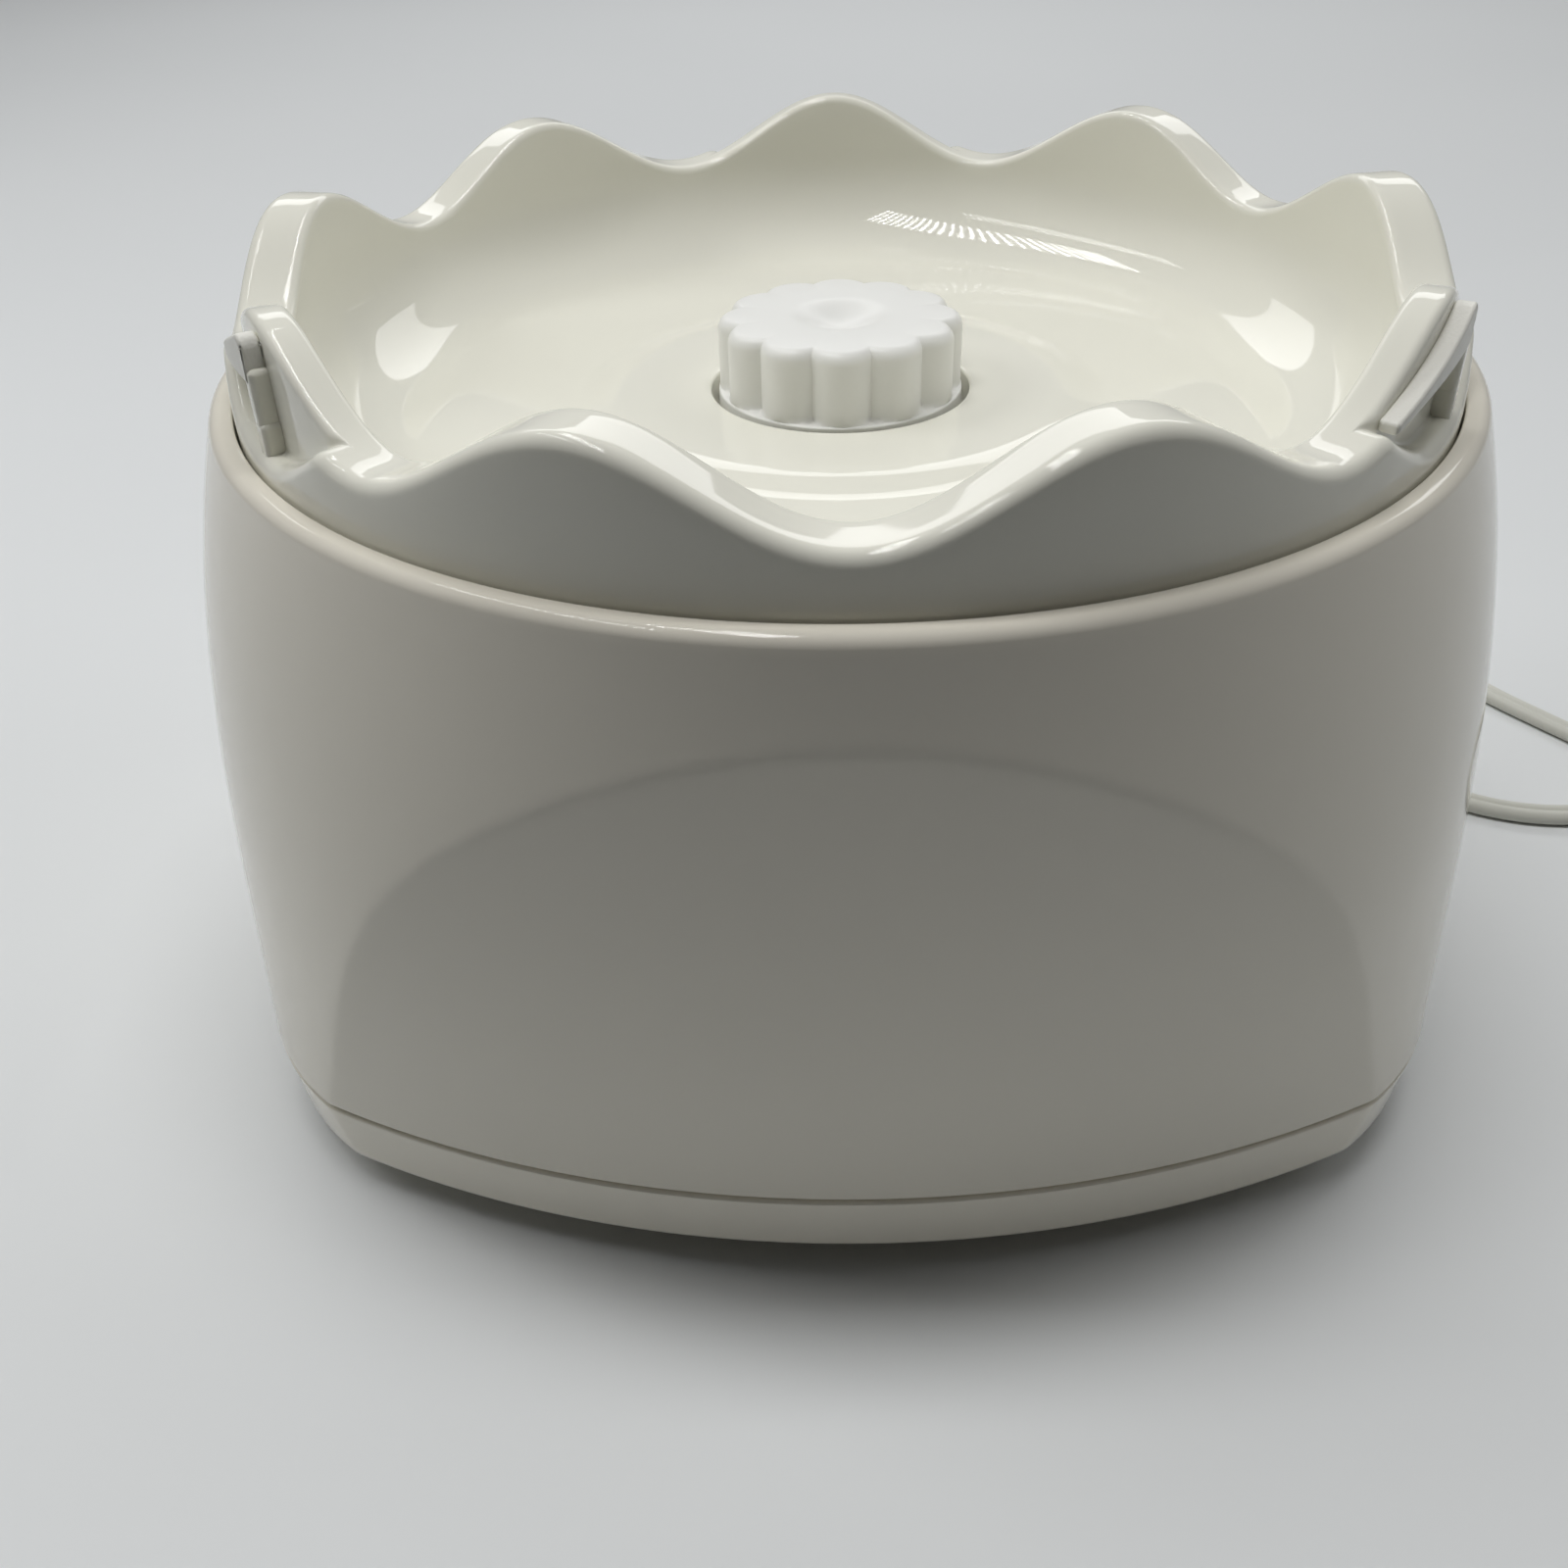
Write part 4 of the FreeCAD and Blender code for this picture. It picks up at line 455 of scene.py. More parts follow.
# %% Casing sizes
FOOT_STANDOFF = 5.0
COVER_HEIGHT = 11.8
SEAM_Z = FOOT_STANDOFF + COVER_HEIGHT
BODY_HEIGHT = 99.2
LIP_Z = SEAM_Z + BODY_HEIGHT
STATIONS = [
    (0.0, 105.8, 94.0, 52.0), (35.7, 106.8, 103.0, 92.0), (72.2, 103.4, 100.6, 98.0),
    (99.2, 96.5, 96.5, 96.4),
]
FRONT_TURN = math.radians(24.0)
SIDE_TURN = math.radians(72.0)
WALL = 2.5
LIP_ROUND = 1.6
FACET_RADIUS = 186.0
FACET_DEPTH = 89.7
FACET_LEAN = math.radians(5.4)
FACET_SOFTNESS = 0.25
LEDGE_Z = LIP_Z - 9.0
LEDGE_THICKNESS = 3.0
LEDGE_INNER = 84.0
TRAY_OPENING = 93.3

# %% Casing outline
def arc_reach(sine, cosine, centre_x, centre_y, radius):
    """Distance from the axis, in a direction, to an arc about a centre."""
    along = centre_x * sine + centre_y * cosine
    across = centre_x * cosine - centre_y * sine
    return along + np.sqrt(np.maximum(radius ** 2 - across ** 2, 0))


def plan_radius(turns, width, depth, corner):
    """Plan of eight tangent arcs: broad front and rear, round sides, tighter corners."""
    half_tangent = math.tan(FRONT_TURN / 2)
    sin_side, cos_side = math.sin(SIDE_TURN), math.cos(SIDE_TURN)
    side = depth - corner - (width - corner * sin_side) * half_tangent + corner * cos_side
    side = side / (cos_side - (1 - sin_side) * half_tangent)
    corner_x = width - corner * sin_side - side * (1 - sin_side)
    corner_y = (side - corner) * cos_side
    front = corner + corner_x / math.sin(FRONT_TURN)
    front_y = corner_y - (front - corner) * math.cos(FRONT_TURN)
    sine, cosine = np.abs(np.sin(turns)), np.abs(np.cos(turns))
    first = math.atan2(front * math.sin(FRONT_TURN), front_y + front * math.cos(FRONT_TURN))
    last = math.atan2(corner_x + corner * sin_side, corner_y + corner * cos_side)
    direction = np.arctan2(sine, cosine)
    reach = arc_reach(sine, cosine, corner_x, corner_y, corner)
    reach = np.where(direction < first, arc_reach(sine, cosine, 0.0, front_y, front), reach)
    return np.where(direction > last, arc_reach(sine, cosine, width - side, 0.0, side), reach)


def barrel_radius(turns, rise):
    """Smooth curve through the four stations, at a height above the seam."""
    total = np.zeros_like(turns)
    for i, (level, width, depth, corner) in enumerate(STATIONS):
        share = 1.0
        for j, other in enumerate(STATIONS):
            if j != i:
                share = share * (rise - other[0]) / (level - other[0])
        total = total + share * plan_radius(turns, width, depth, corner)
    return total


def facet_radius(turns, rise):
    """Distance to the leaning facet cylinder at a height above the seam."""
    lean_cos, lean_sin = math.cos(FACET_LEAN), math.sin(FACET_LEAN)
    offset = lean_cos * (FACET_RADIUS - FACET_DEPTH) - lean_sin * rise
    sine, cosine = np.sin(turns), np.abs(np.cos(turns)) * lean_cos
    square = sine ** 2 + cosine ** 2
    root = np.sqrt(np.maximum((cosine * offset) ** 2 - square * (offset ** 2 - FACET_RADIUS ** 2), 0))
    return (root - cosine * offset) / square


def soft_min(first, second, softness):
    """The smaller of two values, with a round change-over as wide as the softness."""
    near = np.maximum(softness - np.abs(first - second), 0) / softness
    return np.minimum(first, second) - near ** 2 * softness / 4


def casing_radius(turns, rise):
    return soft_min(barrel_radius(turns, rise), facet_radius(turns, rise), FACET_SOFTNESS)


front_and_side = np.array([0.0, math.pi / 2])
print("front and side at the seam", casing_radius(front_and_side, 0.0).round(2))

# %% Casing mesh
SWITCH_Z = 46.0
RECESS_RADIUS = 19.0
RECESS_FLOOR_Y = 87.5
RECESS_BULGE = 6.5
BULGE_TURN = 0.24
BULGE_HEIGHT = 24.0
SEAM_ROUND = 0.7
LIP_FALL = 0.25
OPENING_ROUND = 0.4
casing_turns = all_turns(720)
seam_radius = casing_radius(casing_turns, 0.0)
casing_rows = []
for _, short in quarter(4, 0):
    casing_rows.append((seam_radius - SEAM_ROUND * short, SEAM_Z + SEAM_ROUND * (1 - short)))
for rise in np.linspace(SEAM_ROUND, BODY_HEIGHT - LIP_ROUND, 100)[1:]:
    casing_rows.append((casing_radius(casing_turns, rise), SEAM_Z + rise))
lip_low = casing_radius(casing_turns, BODY_HEIGHT - LIP_ROUND)
for inwards, below in quarter(8):
    lip_radius = lip_low - LIP_ROUND * inwards - LIP_FALL * (1 - below)
    casing_rows.append((lip_radius, LIP_Z - LIP_ROUND * below))
casing_rows += corner_arc(TRAY_OPENING + OPENING_ROUND, LIP_Z - OPENING_ROUND, OPENING_ROUND, 90, 180, 4)
casing_rows += [(TRAY_OPENING, LEDGE_Z), (LEDGE_INNER, LEDGE_Z), (LEDGE_INNER, LEDGE_Z - LEDGE_THICKNESS)]
for rise in np.linspace(LEDGE_Z - LEDGE_THICKNESS - SEAM_Z, 0, 16):
    height = SEAM_Z + rise
    around = (casing_turns - math.pi) / BULGE_TURN
    bulge = np.exp(-around ** 4 - ((height - SWITCH_Z) / BULGE_HEIGHT) ** 4)
    casing_rows.append((casing_radius(casing_turns, rise) - WALL - RECESS_BULGE * bulge, height))
casing = turned_piece("casing", casing_rows, casing_turns, "base", casing_gloss, "casing_gloss", 30.0)
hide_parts("body_shell")
print("casing", len(casing.data.polygons), "faces")

# %% [markdown]
# The rear of the casing has a round recess for the switch knob. It goes right into the facet, so it is
# cut with a Boolean modifier and the result is kept as a plain mesh. Cutters are thrown away afterwards.

# %% Boolean helper and the switch recess
def carve(piece, cutter_points, cutter_faces, sharp=30.0):
    """Cut a closed mesh out of a piece and keep the result as its own mesh."""
    mesh = bpy.data.meshes.new("cutter")
    mesh.from_pydata([tuple(p) for p in cutter_points], [], cutter_faces)
    cutter = add_object("cutter", mesh)
    cut = piece.modifiers.new("cut", "BOOLEAN")
    cut.operation = "DIFFERENCE"
    cut.solver = "EXACT"
    cut.object = cutter
    graph = bpy.context.evaluated_depsgraph_get()
    carved = bpy.data.meshes.new_from_object(piece.evaluated_get(graph))
    piece.modifiers.remove(cut)
    bpy.data.objects.remove(cutter)
    old = piece.data
    carved.name = old.name
    piece.data = carved
    bpy.data.meshes.remove(old)
    carved.shade_smooth()
    carved.set_sharp_from_angle(angle=math.radians(sharp))


def lathe_y(rows, columns, x, z):
    """A solid turned about an axis along +Y, from (radius, y) rows that start and end on the axis."""
    turns = all_turns(columns)
    points = [(x, rows[0][1], z)]
    for radius, y in rows[1:-1]:
        for turn in turns:
            points.append((x + radius * math.sin(turn), y, z + radius * math.cos(turn)))
    points.append((x, rows[-1][1], z))
    rings = len(rows) - 2
    faces = [(0, 1 + (i + 1) % columns, 1 + i) for i in range(columns)]
    for row in range(rings - 1):
        for i in range(columns):
            beside = (i + 1) % columns
            low, high = 1 + row * columns, 1 + (row + 1) * columns
            faces.append((low + i, low + beside, high + beside, high + i))
    end = len(points) - 1
    low = 1 + (rings - 1) * columns
    faces += [(end, low + i, low + (i + 1) % columns) for i in range(columns)]
    return np.array(points) * MM, faces


RECESS_END_Y = 115.0
recess = [
    (0, RECESS_FLOOR_Y), (RECESS_RADIUS, RECESS_FLOOR_Y), (RECESS_RADIUS, RECESS_END_Y), (0, RECESS_END_Y),
]
carve(casing, *lathe_y(recess, 96, 0.0, SWITCH_Z))
print("casing with recess", len(casing.data.polygons), "faces")

# %% [markdown]
# The bottom cover carries on the casing's plan below a thin seam and draws in towards the table. Its
# underside has two rows of air slots. The same outline formula serves, so casing and cover line up all
# the way round.

# %% Bottom cover
COVER_DRAFT = 1.6
SEAM_GAP = 0.3
COVER_ROUND = 1.8
COVER_FLOOR = 3.0
COVER_WALL = 4.6
COVER_HUB = 2.0
cover_top = SEAM_Z - SEAM_GAP


def cover_radius(turns, height):
    share = (SEAM_Z - height) / COVER_HEIGHT
    width, depth, corner = STATIONS[0][1:]
    draft = COVER_DRAFT * share
    outline = plan_radius(turns, width - draft, depth - draft, corner - draft)
    return soft_min(outline, facet_radius(turns, height - SEAM_Z), FACET_SOFTNESS)


cover_rows = [(radius, FOOT_STANDOFF) for radius in (COVER_HUB, 30.0, 60.0)]
edge = cover_radius(casing_turns, FOOT_STANDOFF + COVER_ROUND)
for above, inwards in quarter(6, 0):
    cover_rows.append((edge - COVER_ROUND * inwards, FOOT_STANDOFF + COVER_ROUND * above))
for height in np.linspace(FOOT_STANDOFF + COVER_ROUND, cover_top - SEAM_ROUND, 9)[1:]:
    cover_rows.append((cover_radius(casing_turns, height), height))
top_edge = cover_radius(casing_turns, cover_top)
for inwards, below in quarter(4):
    cover_rows.append((top_edge - SEAM_ROUND * inwards, cover_top - SEAM_ROUND * below))
inner = cover_radius(casing_turns, FOOT_STANDOFF) - COVER_WALL
cover_floor = FOOT_STANDOFF + COVER_FLOOR
cover_rows += [(inner, cover_top), (inner, cover_floor), (COVER_HUB, cover_floor)]
cover = turned_piece(
    "bottom_cover_skin", cover_rows, casing_turns, "base", cover_painted_light_gloss, "casing_gloss", 35.0,
)
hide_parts("bottom_cover")
print("cover", len(cover.data.polygons), "faces")

# %% Air slots in the cover
SLOT_WIDTH = 3.2
SLOT_LENGTH = 30.0
SLOT_PITCH = 8.0
SLOT_COUNT = 7
SLOT_FROM_MIDDLE = 12.0
SLOT_CUT = (2.0, 12.0)


def slot_outline(x, near):
    """Long hole with round ends, as (x, y) points."""
    half = SLOT_WIDTH / 2
    points = []
    for first, middle in ((0.0, near + SLOT_LENGTH - half), (math.pi, near + half)):
        for i in range(9):
            angle = first + math.pi * i / 8
            points.append((x + half * math.cos(angle), middle + half * math.sin(angle)))
    return points


slot_points, slot_faces = [], []
for i in range(SLOT_COUNT):
    x = (i - (SLOT_COUNT - 1) / 2) * SLOT_PITCH
    for near in (SLOT_FROM_MIDDLE, -SLOT_FROM_MIDDLE - SLOT_LENGTH):
        outline = slot_outline(x, near)
        slot_faces += shifted(stack_faces(2, len(outline)), len(slot_points))
        slot_points += [(*point, height) for height in SLOT_CUT for point in outline]
carve(cover, np.array(slot_points) * MM, slot_faces, 35.0)
print("slots", SLOT_COUNT * 2)

# %% [markdown]
# The tray is the piece that people remember: a dished floor, a cove, and a rim whose top goes up and down
# in nine waves. At three crests the outer half of the rim is cut down into a pocket for the lid's lugs.
# One profile, with heights that depend on the angle, gives floor, cove, waves and pockets without any
# cutting.

# %% Tray sizes
RIM_RADIUS = 93.0
RIM_INNER = 83.8
CREST_Z = LIP_Z + 19.5
WAVE_DROP = 11.5
WAVES = 9
INNER_EDGE = 1.3
OUTER_EDGE = 2.0
COVE_RADIUS = 16.0
FLOOR_Z = LIP_Z - 8.5
COVE_R = RIM_INNER - COVE_RADIUS
COVE_Z = FLOOR_Z + COVE_RADIUS
BOSS_RISE = 1.0
BOSS_RADIUS = 37.0
BOSS_SLOPE = 8.0
WELL_RADIUS = 20.8
WELL_FOOT = 0.8
WELL_EDGE = 0.5
WELL_Z = FLOOR_Z + BOSS_RISE - 5.0
WELL_LOW = WELL_Z - 2.5
SEAL_RADIUS = 9.0
TRAY_WALL = 2.5
LUG_AROUND = (60.0, 180.0, 300.0)
POCKET_Z = LIP_Z + 2.4
POCKET_LIP_Z = LIP_Z + 9.4
POCKET_HALF_FLOOR = 8.5
POCKET_REACH = 24.5
POCKET_BACK = 88.0
POCKET_RADIUS = 91.0
POCKET_SOFTNESS = 1.4
POCKET_EDGE = 1.1
POCKET_FOOT = 0.7
RING_APART = 0.02

# %% Rim heights
def wave_height(turns):
    """Top of the rim: a valley at the front and a crest half a wave further round."""
    return CREST_Z - WAVE_DROP / 2 - WAVE_DROP / 2 * np.cos(WAVES * turns)


def pocket_height(turns):
    """Top of the rim's outer half: down to a floor beside each lug, and up to the wave elsewhere."""
    height = np.full_like(turns, 1000.0)
    for degrees in LUG_AROUND:
        apart = (turns - math.radians(degrees) + math.pi) % (2 * math.pi) - math.pi
        sideways = POCKET_RADIUS * np.sin(np.clip(np.abs(apart), 0, math.pi / 2))
        climb = np.maximum(sideways - POCKET_HALF_FLOOR, 0) / (POCKET_REACH - POCKET_HALF_FLOOR)
        height = np.minimum(height, POCKET_Z + (POCKET_LIP_Z - POCKET_Z) * climb ** 1.5)
    return height


tray_turns = all_turns(900)
rim_top = wave_height(tray_turns)
outer_top = soft_min(rim_top, pocket_height(tray_turns), POCKET_SOFTNESS)
print("rim from", rim_top.min().round(1), "to", rim_top.max().round(1), "pocket", outer_top.min().round(1))

# %% Tray profile
boss_z = FLOOR_Z + BOSS_RISE
boss_edge = BOSS_RADIUS - 2.0
tray_rows = [(SEAL_RADIUS, WELL_Z), (WELL_RADIUS - 0.9, WELL_Z)]
tray_rows += corner_arc(WELL_RADIUS - WELL_FOOT, WELL_Z + WELL_FOOT, WELL_FOOT, -80, 0, 4)
tray_rows += corner_arc(WELL_RADIUS + WELL_EDGE, boss_z - WELL_EDGE, WELL_EDGE, 180, 90, 4)
tray_rows += [(WELL_RADIUS + 1.2, boss_z), (28.0, boss_z), (boss_edge, boss_z)]
for share in np.linspace(0, 1, 17)[1:]:
    tray_rows.append((boss_edge + BOSS_SLOPE * share, boss_z - BOSS_RISE * ease(share)))
tray_rows += [(46.0, FLOOR_Z), (56.0, FLOOR_Z), (64.0, FLOOR_Z)]
cove_end = np.arcsin((np.minimum(COVE_Z, rim_top - INNER_EDGE) - COVE_Z) / COVE_RADIUS)
for i in range(19):
    angle = -math.pi / 2 + (cove_end + math.pi / 2) * i / 18
    tray_rows.append((COVE_R + COVE_RADIUS * np.cos(angle), COVE_Z + COVE_RADIUS * np.sin(angle)))
wall_r, wall_z = tray_rows[-1]
for share in np.linspace(0, 1, 7)[1:]:
    height = wall_z + (rim_top - INNER_EDGE - wall_z) * share
    tray_rows.append((wall_r + (RIM_INNER - wall_r) * share, height))
for outwards, below in quarter(5):
    tray_rows.append((RIM_INNER + INNER_EDGE * outwards, rim_top - INNER_EDGE * below))
tray_rows += [(POCKET_BACK - inwards, rim_top) for inwards in (1.8, 0.8, 0.4, 0.2)]
print("rows up to the rim", len(tray_rows))

# %% Pocket, skirt and underside
depth = rim_top - outer_top
edge_round = np.minimum(POCKET_EDGE, depth * 0.45)
foot_round = np.minimum(POCKET_FOOT, depth * 0.3)
tray_rows.append((POCKET_BACK, rim_top))
for i, (below, short) in enumerate(quarter(5), 1):
    edge_r = POCKET_BACK + RING_APART * i + edge_round * (1 - short)
    tray_rows.append((edge_r, rim_top - edge_round * below))
back_r = POCKET_BACK + 5 * RING_APART + edge_round
back_top = rim_top - edge_round
for i in range(1, 6):
    tray_rows.append((back_r + RING_APART * i, back_top + (outer_top + foot_round - back_top) * i / 5))
floor_r = back_r + 5 * RING_APART
for i, (outwards, above) in enumerate(quarter(4), 1):
    tray_rows.append((floor_r + RING_APART * i + foot_round * outwards, outer_top + foot_round * above))
floor_r = floor_r + 4 * RING_APART + foot_round
for share in (0.5, 1.0):
    tray_rows.append((floor_r + (RIM_RADIUS - OUTER_EDGE - floor_r) * share, outer_top))
for below, inwards in quarter(8):
    tray_rows.append((RIM_RADIUS - OUTER_EDGE * inwards, outer_top - OUTER_EDGE * below))
skirt_top = outer_top - OUTER_EDGE
for share in (0.15, 0.3, 0.45, 0.6, 0.8, 1.0):
    tray_rows.append((RIM_RADIUS, skirt_top + (LEDGE_Z - skirt_top) * share))
channel_top = POCKET_Z - TRAY_WALL
under = COVE_RADIUS + TRAY_WALL
tray_rows += [(RIM_RADIUS - TRAY_WALL, LEDGE_Z), (RIM_RADIUS - TRAY_WALL, channel_top)]
last_angle = math.degrees(math.asin((channel_top - COVE_Z) / under))
tray_rows += corner_arc(COVE_R, COVE_Z, under, last_angle, -90, 8)
well_outside = WELL_RADIUS + TRAY_WALL
tray_rows += [(well_outside, FLOOR_Z - TRAY_WALL), (well_outside, WELL_LOW), (SEAL_RADIUS, WELL_LOW)]
# The rows end on the underside, so they are taken backwards to run up the outside.
tray = turned_piece("tray", tray_rows[::-1], tray_turns, "base", tray_gloss, "tray_gloss", 50.0)
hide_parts("bowl_tray")
print("tray", len(tray.data.polygons), "faces")

# %% [markdown]
# Each lug is a rib that climbs along its pocket, with a stepped post under its high end, where the lid
# stops. The rib's top has a fine grain that grips the lid. Both are thin bars bent round the rim, made as
# sections along the way and softened with a Bevel modifier, because moulded edges are never knife sharp.

# %% Lid lugs
LUG_INNER = 89.2
LUG_OUTER = 92.0
LUG_LOW_END = -21.5
LUG_HIGH_END = 4.5
LUG_LOW_Z = LIP_Z + 9.6
LUG_HIGH_Z = LIP_Z + 18.0
LUG_THICKNESS = 6.2
LUG_LOW_THICKNESS = 1.6
LUG_END_ROUND = 2.2
LUG_BEVEL = 0.5
POST_REACH = 2.2
POST_LEVELS = (-1.0, 4.3, 11.4)
POST_FORWARD = (1.3, 0.8, -0.2)
POST_OVERLAP = 1.0
POST_BEVEL = 0.9
SOFT_ANGLE = math.radians(35.0)


def bent_bar(stations, degrees):
    """Closed bar from (sideways, low, high, inner, outer) sections, bent round the rim at a lug's angle."""
    points = []
    for sideways, low, high, inner_r, outer_r in stations:
        turn = math.radians(degrees) + math.asin(sideways / POCKET_RADIUS)
        for radius, height in ((inner_r, low), (inner_r, high), (outer_r, high), (outer_r, low)):
            points.append((radius * math.sin(turn) * MM, -radius * math.cos(turn) * MM, height * MM))
    return points, stack_faces(len(stations), 4)


def soften(piece, width, segments=3, clamp=True):
    """Round the sharp edges of a piece and keep its flat faces flat."""
    bevel = piece.modifiers.new("soft_edges", "BEVEL")
    bevel.width = width * MM
    bevel.segments = segments
    bevel.limit_method = "ANGLE"
    bevel.angle_limit = SOFT_ANGLE
    bevel.harden_normals = True
    bevel.use_clamp_overlap = clamp


def rib_stations():
    """Sections of the climbing rib, thicker towards its high end, where the top rolls over in an arc."""
    stations = []
    straight_end = LUG_HIGH_END - LUG_END_ROUND
    for share in np.linspace(0, 1, 19):
        sideways = LUG_LOW_END + (straight_end - LUG_LOW_END) * share
        top = LUG_LOW_Z + (LUG_HIGH_Z - LUG_LOW_Z) * share
        thickness = LUG_LOW_THICKNESS + (LUG_THICKNESS - LUG_LOW_THICKNESS) * share ** 1.7
        stations.append((sideways, top - thickness, top, LUG_INNER, LUG_OUTER))
    for roll in np.radians((15.0, 30.0, 45.0, 60.0, 75.0)):
        sideways = straight_end + LUG_END_ROUND * math.sin(roll)
        top = LUG_HIGH_Z - LUG_END_ROUND * (1.0 - math.cos(roll))
        stations.append((sideways, LUG_HIGH_Z - LUG_THICKNESS, top, LUG_INNER, LUG_OUTER))
    return stations


def post_bars():
    """Three blocks under the rib's high end, each lower one standing further forward, like stairs."""
    levels = [POCKET_Z + level for level in POST_LEVELS] + [LUG_HIGH_Z - LUG_END_ROUND - 0.4]
    bars = []
    for low, high, forward in zip(levels, levels[1:], POST_FORWARD):
        section = (low - POST_OVERLAP, high, POCKET_BACK + 0.6, LUG_OUTER - 0.1)
        bars.append([(LUG_HIGH_END - POST_REACH, *section), (LUG_HIGH_END + forward, *section)])
    return bars


for degrees, side in zip(LUG_AROUND, ("right", "rear", "left")):
    rib_bar = bent_bar(rib_stations(), degrees)
    rib = make_piece("lug_rib_" + side, *rib_bar, "base", lug_matte, "tray_gloss", 35.0)
    soften(rib, LUG_BEVEL, clamp=False)
    post_points, post_faces = [], []
    for bar in post_bars():
        points, faces = bent_bar(bar, degrees)
        post_faces += shifted(faces, len(post_points))
        post_points += points
    post = make_piece("lug_post_" + side, post_points, post_faces, "base", tray_gloss, "tray_gloss", 35.0)
    soften(post, POST_BEVEL, 4)
print("lugs", len(LUG_AROUND))

# %% [markdown]
# The coupling turns the bowl. It is a nylon drum with twelve round lobes, a flange at its foot and a
# shallow dimple on top, where the mould's gate was. Lobes are arcs about a ring of centres, so their
# reach at any angle is one formula, and the top edge is rounded by drawing the same outline in.

# %% Coupling
COUPLING_TOP = CREST_Z - 15.7
COUPLING_LOW = WELL_Z + 1.5
LOBES = 12
LOBE_CENTRE = 14.2
LOBE_RADIUS = 5.2
COUPLING_EDGE = 1.9
FLANGE_RADIUS = 19.6
FLANGE_HEIGHT = 3.6
FLANGE_ROUND = 0.3
DIMPLE_RADIUS = 8.2
DIMPLE_DEPTH = 2.1
BORE = 4.05
AXIS_GAP = 0.01
BORE_TOP = COUPLING_TOP - 5.0

coupling_turns = all_turns(LOBES * 40)
within = (coupling_turns + math.pi / LOBES) % (2 * math.pi / LOBES) - math.pi / LOBES
lobe_reach = LOBE_CENTRE * np.cos(within)
lobe_reach = lobe_reach + np.sqrt(LOBE_RADIUS ** 2 - (LOBE_CENTRE * np.sin(within)) ** 2)
coupling_rows = [(BORE, BORE_TOP), (AXIS_GAP, BORE_TOP), (AXIS_GAP, COUPLING_TOP - DIMPLE_DEPTH)]
for share in np.linspace(0, 1, 13)[1:]:
    drop = 0.5 + 0.5 * math.cos(math.pi * share)
    coupling_rows.append((DIMPLE_RADIUS * share, COUPLING_TOP - DIMPLE_DEPTH * drop ** 0.9))
coupling_rows += [(9.0, COUPLING_TOP), (12.0, COUPLING_TOP)]
for below, inwards in quarter(6, 0):
    coupling_rows.append((lobe_reach - COUPLING_EDGE * inwards, COUPLING_TOP - COUPLING_EDGE * below))
flange_top = COUPLING_LOW + FLANGE_HEIGHT
flange_flat = FLANGE_RADIUS - FLANGE_ROUND
lobe_top, lobe_low = COUPLING_TOP - COUPLING_EDGE, flange_top + 0.5
for share in (0.25, 0.5, 0.75, 0.94, 1.0):
    coupling_rows.append((lobe_reach, lobe_top + (lobe_low - lobe_top) * share))
coupling_rows.append((lobe_reach * 0.6 + flange_flat * 0.4, flange_top + 0.05))
coupling_rows += corner_arc(flange_flat, flange_top - FLANGE_ROUND, FLANGE_ROUND, 90, 0, 4)
coupling_rows += [(FLANGE_RADIUS, COUPLING_LOW), (BORE, COUPLING_LOW)]
coupling = turned_piece(
    "coupling", coupling_rows[::-1], coupling_turns, "drive", coupling_nylon, "coupling_nylon", 50.0,
)
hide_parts("drive_coupling")
print("coupling", len(coupling.data.polygons), "faces")

# %% [markdown]
# At the rear are the switch knob, the cord's boot, and below them four rubber feet. They are turned
# shapes with small details: a pointer bar on the knob, ribs that let the boot bend, and a round lower
# edge on each foot.

# %% Switch knob
KNOB_RADIUS = 16.5
KNOB_FRONT = RECESS_FLOOR_Y + 0.5
KNOB_FACE = KNOB_FRONT + 5.5
KNOB_END = 97.9
KNOB_ROUND = 0.9
KNOB_SINK = 0.4
GRIP_WIDTH = 8.0
GRIP_SECTIONS = 25
GRIP_BEVEL = 0.8
knob_rows = [(0, KNOB_FRONT), (KNOB_RADIUS, KNOB_FRONT)]
for inwards, below in quarter(6, 0):
    knob_rows.append((KNOB_RADIUS - KNOB_ROUND * inwards, KNOB_FACE - KNOB_ROUND * below))
knob_rows += [(KNOB_RADIUS - 2.2, KNOB_FACE), (KNOB_RADIUS - 2.6, KNOB_FACE - KNOB_SINK)]
knob_rows.append((0, KNOB_FACE - KNOB_SINK))
knob_points, knob_faces = lathe_y(knob_rows, 120, 0.0, SWITCH_Z)
knob = make_piece("knob_disc", knob_points, knob_faces, "switch", casing_gloss, "casing_gloss", 40.0)
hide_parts("switch_knob")

grip_points = []
grip_reach = KNOB_RADIUS - 1.2
grip_low = KNOB_FACE - 1.0
for share in np.linspace(-1, 1, GRIP_SECTIONS):
    away = abs(share)
    z = SWITCH_Z + grip_reach * math.sin(share * math.pi / 2)
    half = GRIP_WIDTH / 2 * (1 - 0.18 * away ** 2 if away < 1 else 0.8)
    end = KNOB_END - 2.0 * away ** 3
    for x, y in ((-half, grip_low), (half, grip_low), (half * 0.8, end), (-half * 0.8, end)):
        grip_points.append((x * MM, y * MM, z * MM))
grip_faces = stack_faces(GRIP_SECTIONS, 4)
grip = make_piece("knob_grip", grip_points, grip_faces, "switch", casing_gloss, "casing_gloss")
soften(grip, GRIP_BEVEL, 4)
print("knob", len(knob.data.polygons), "faces")

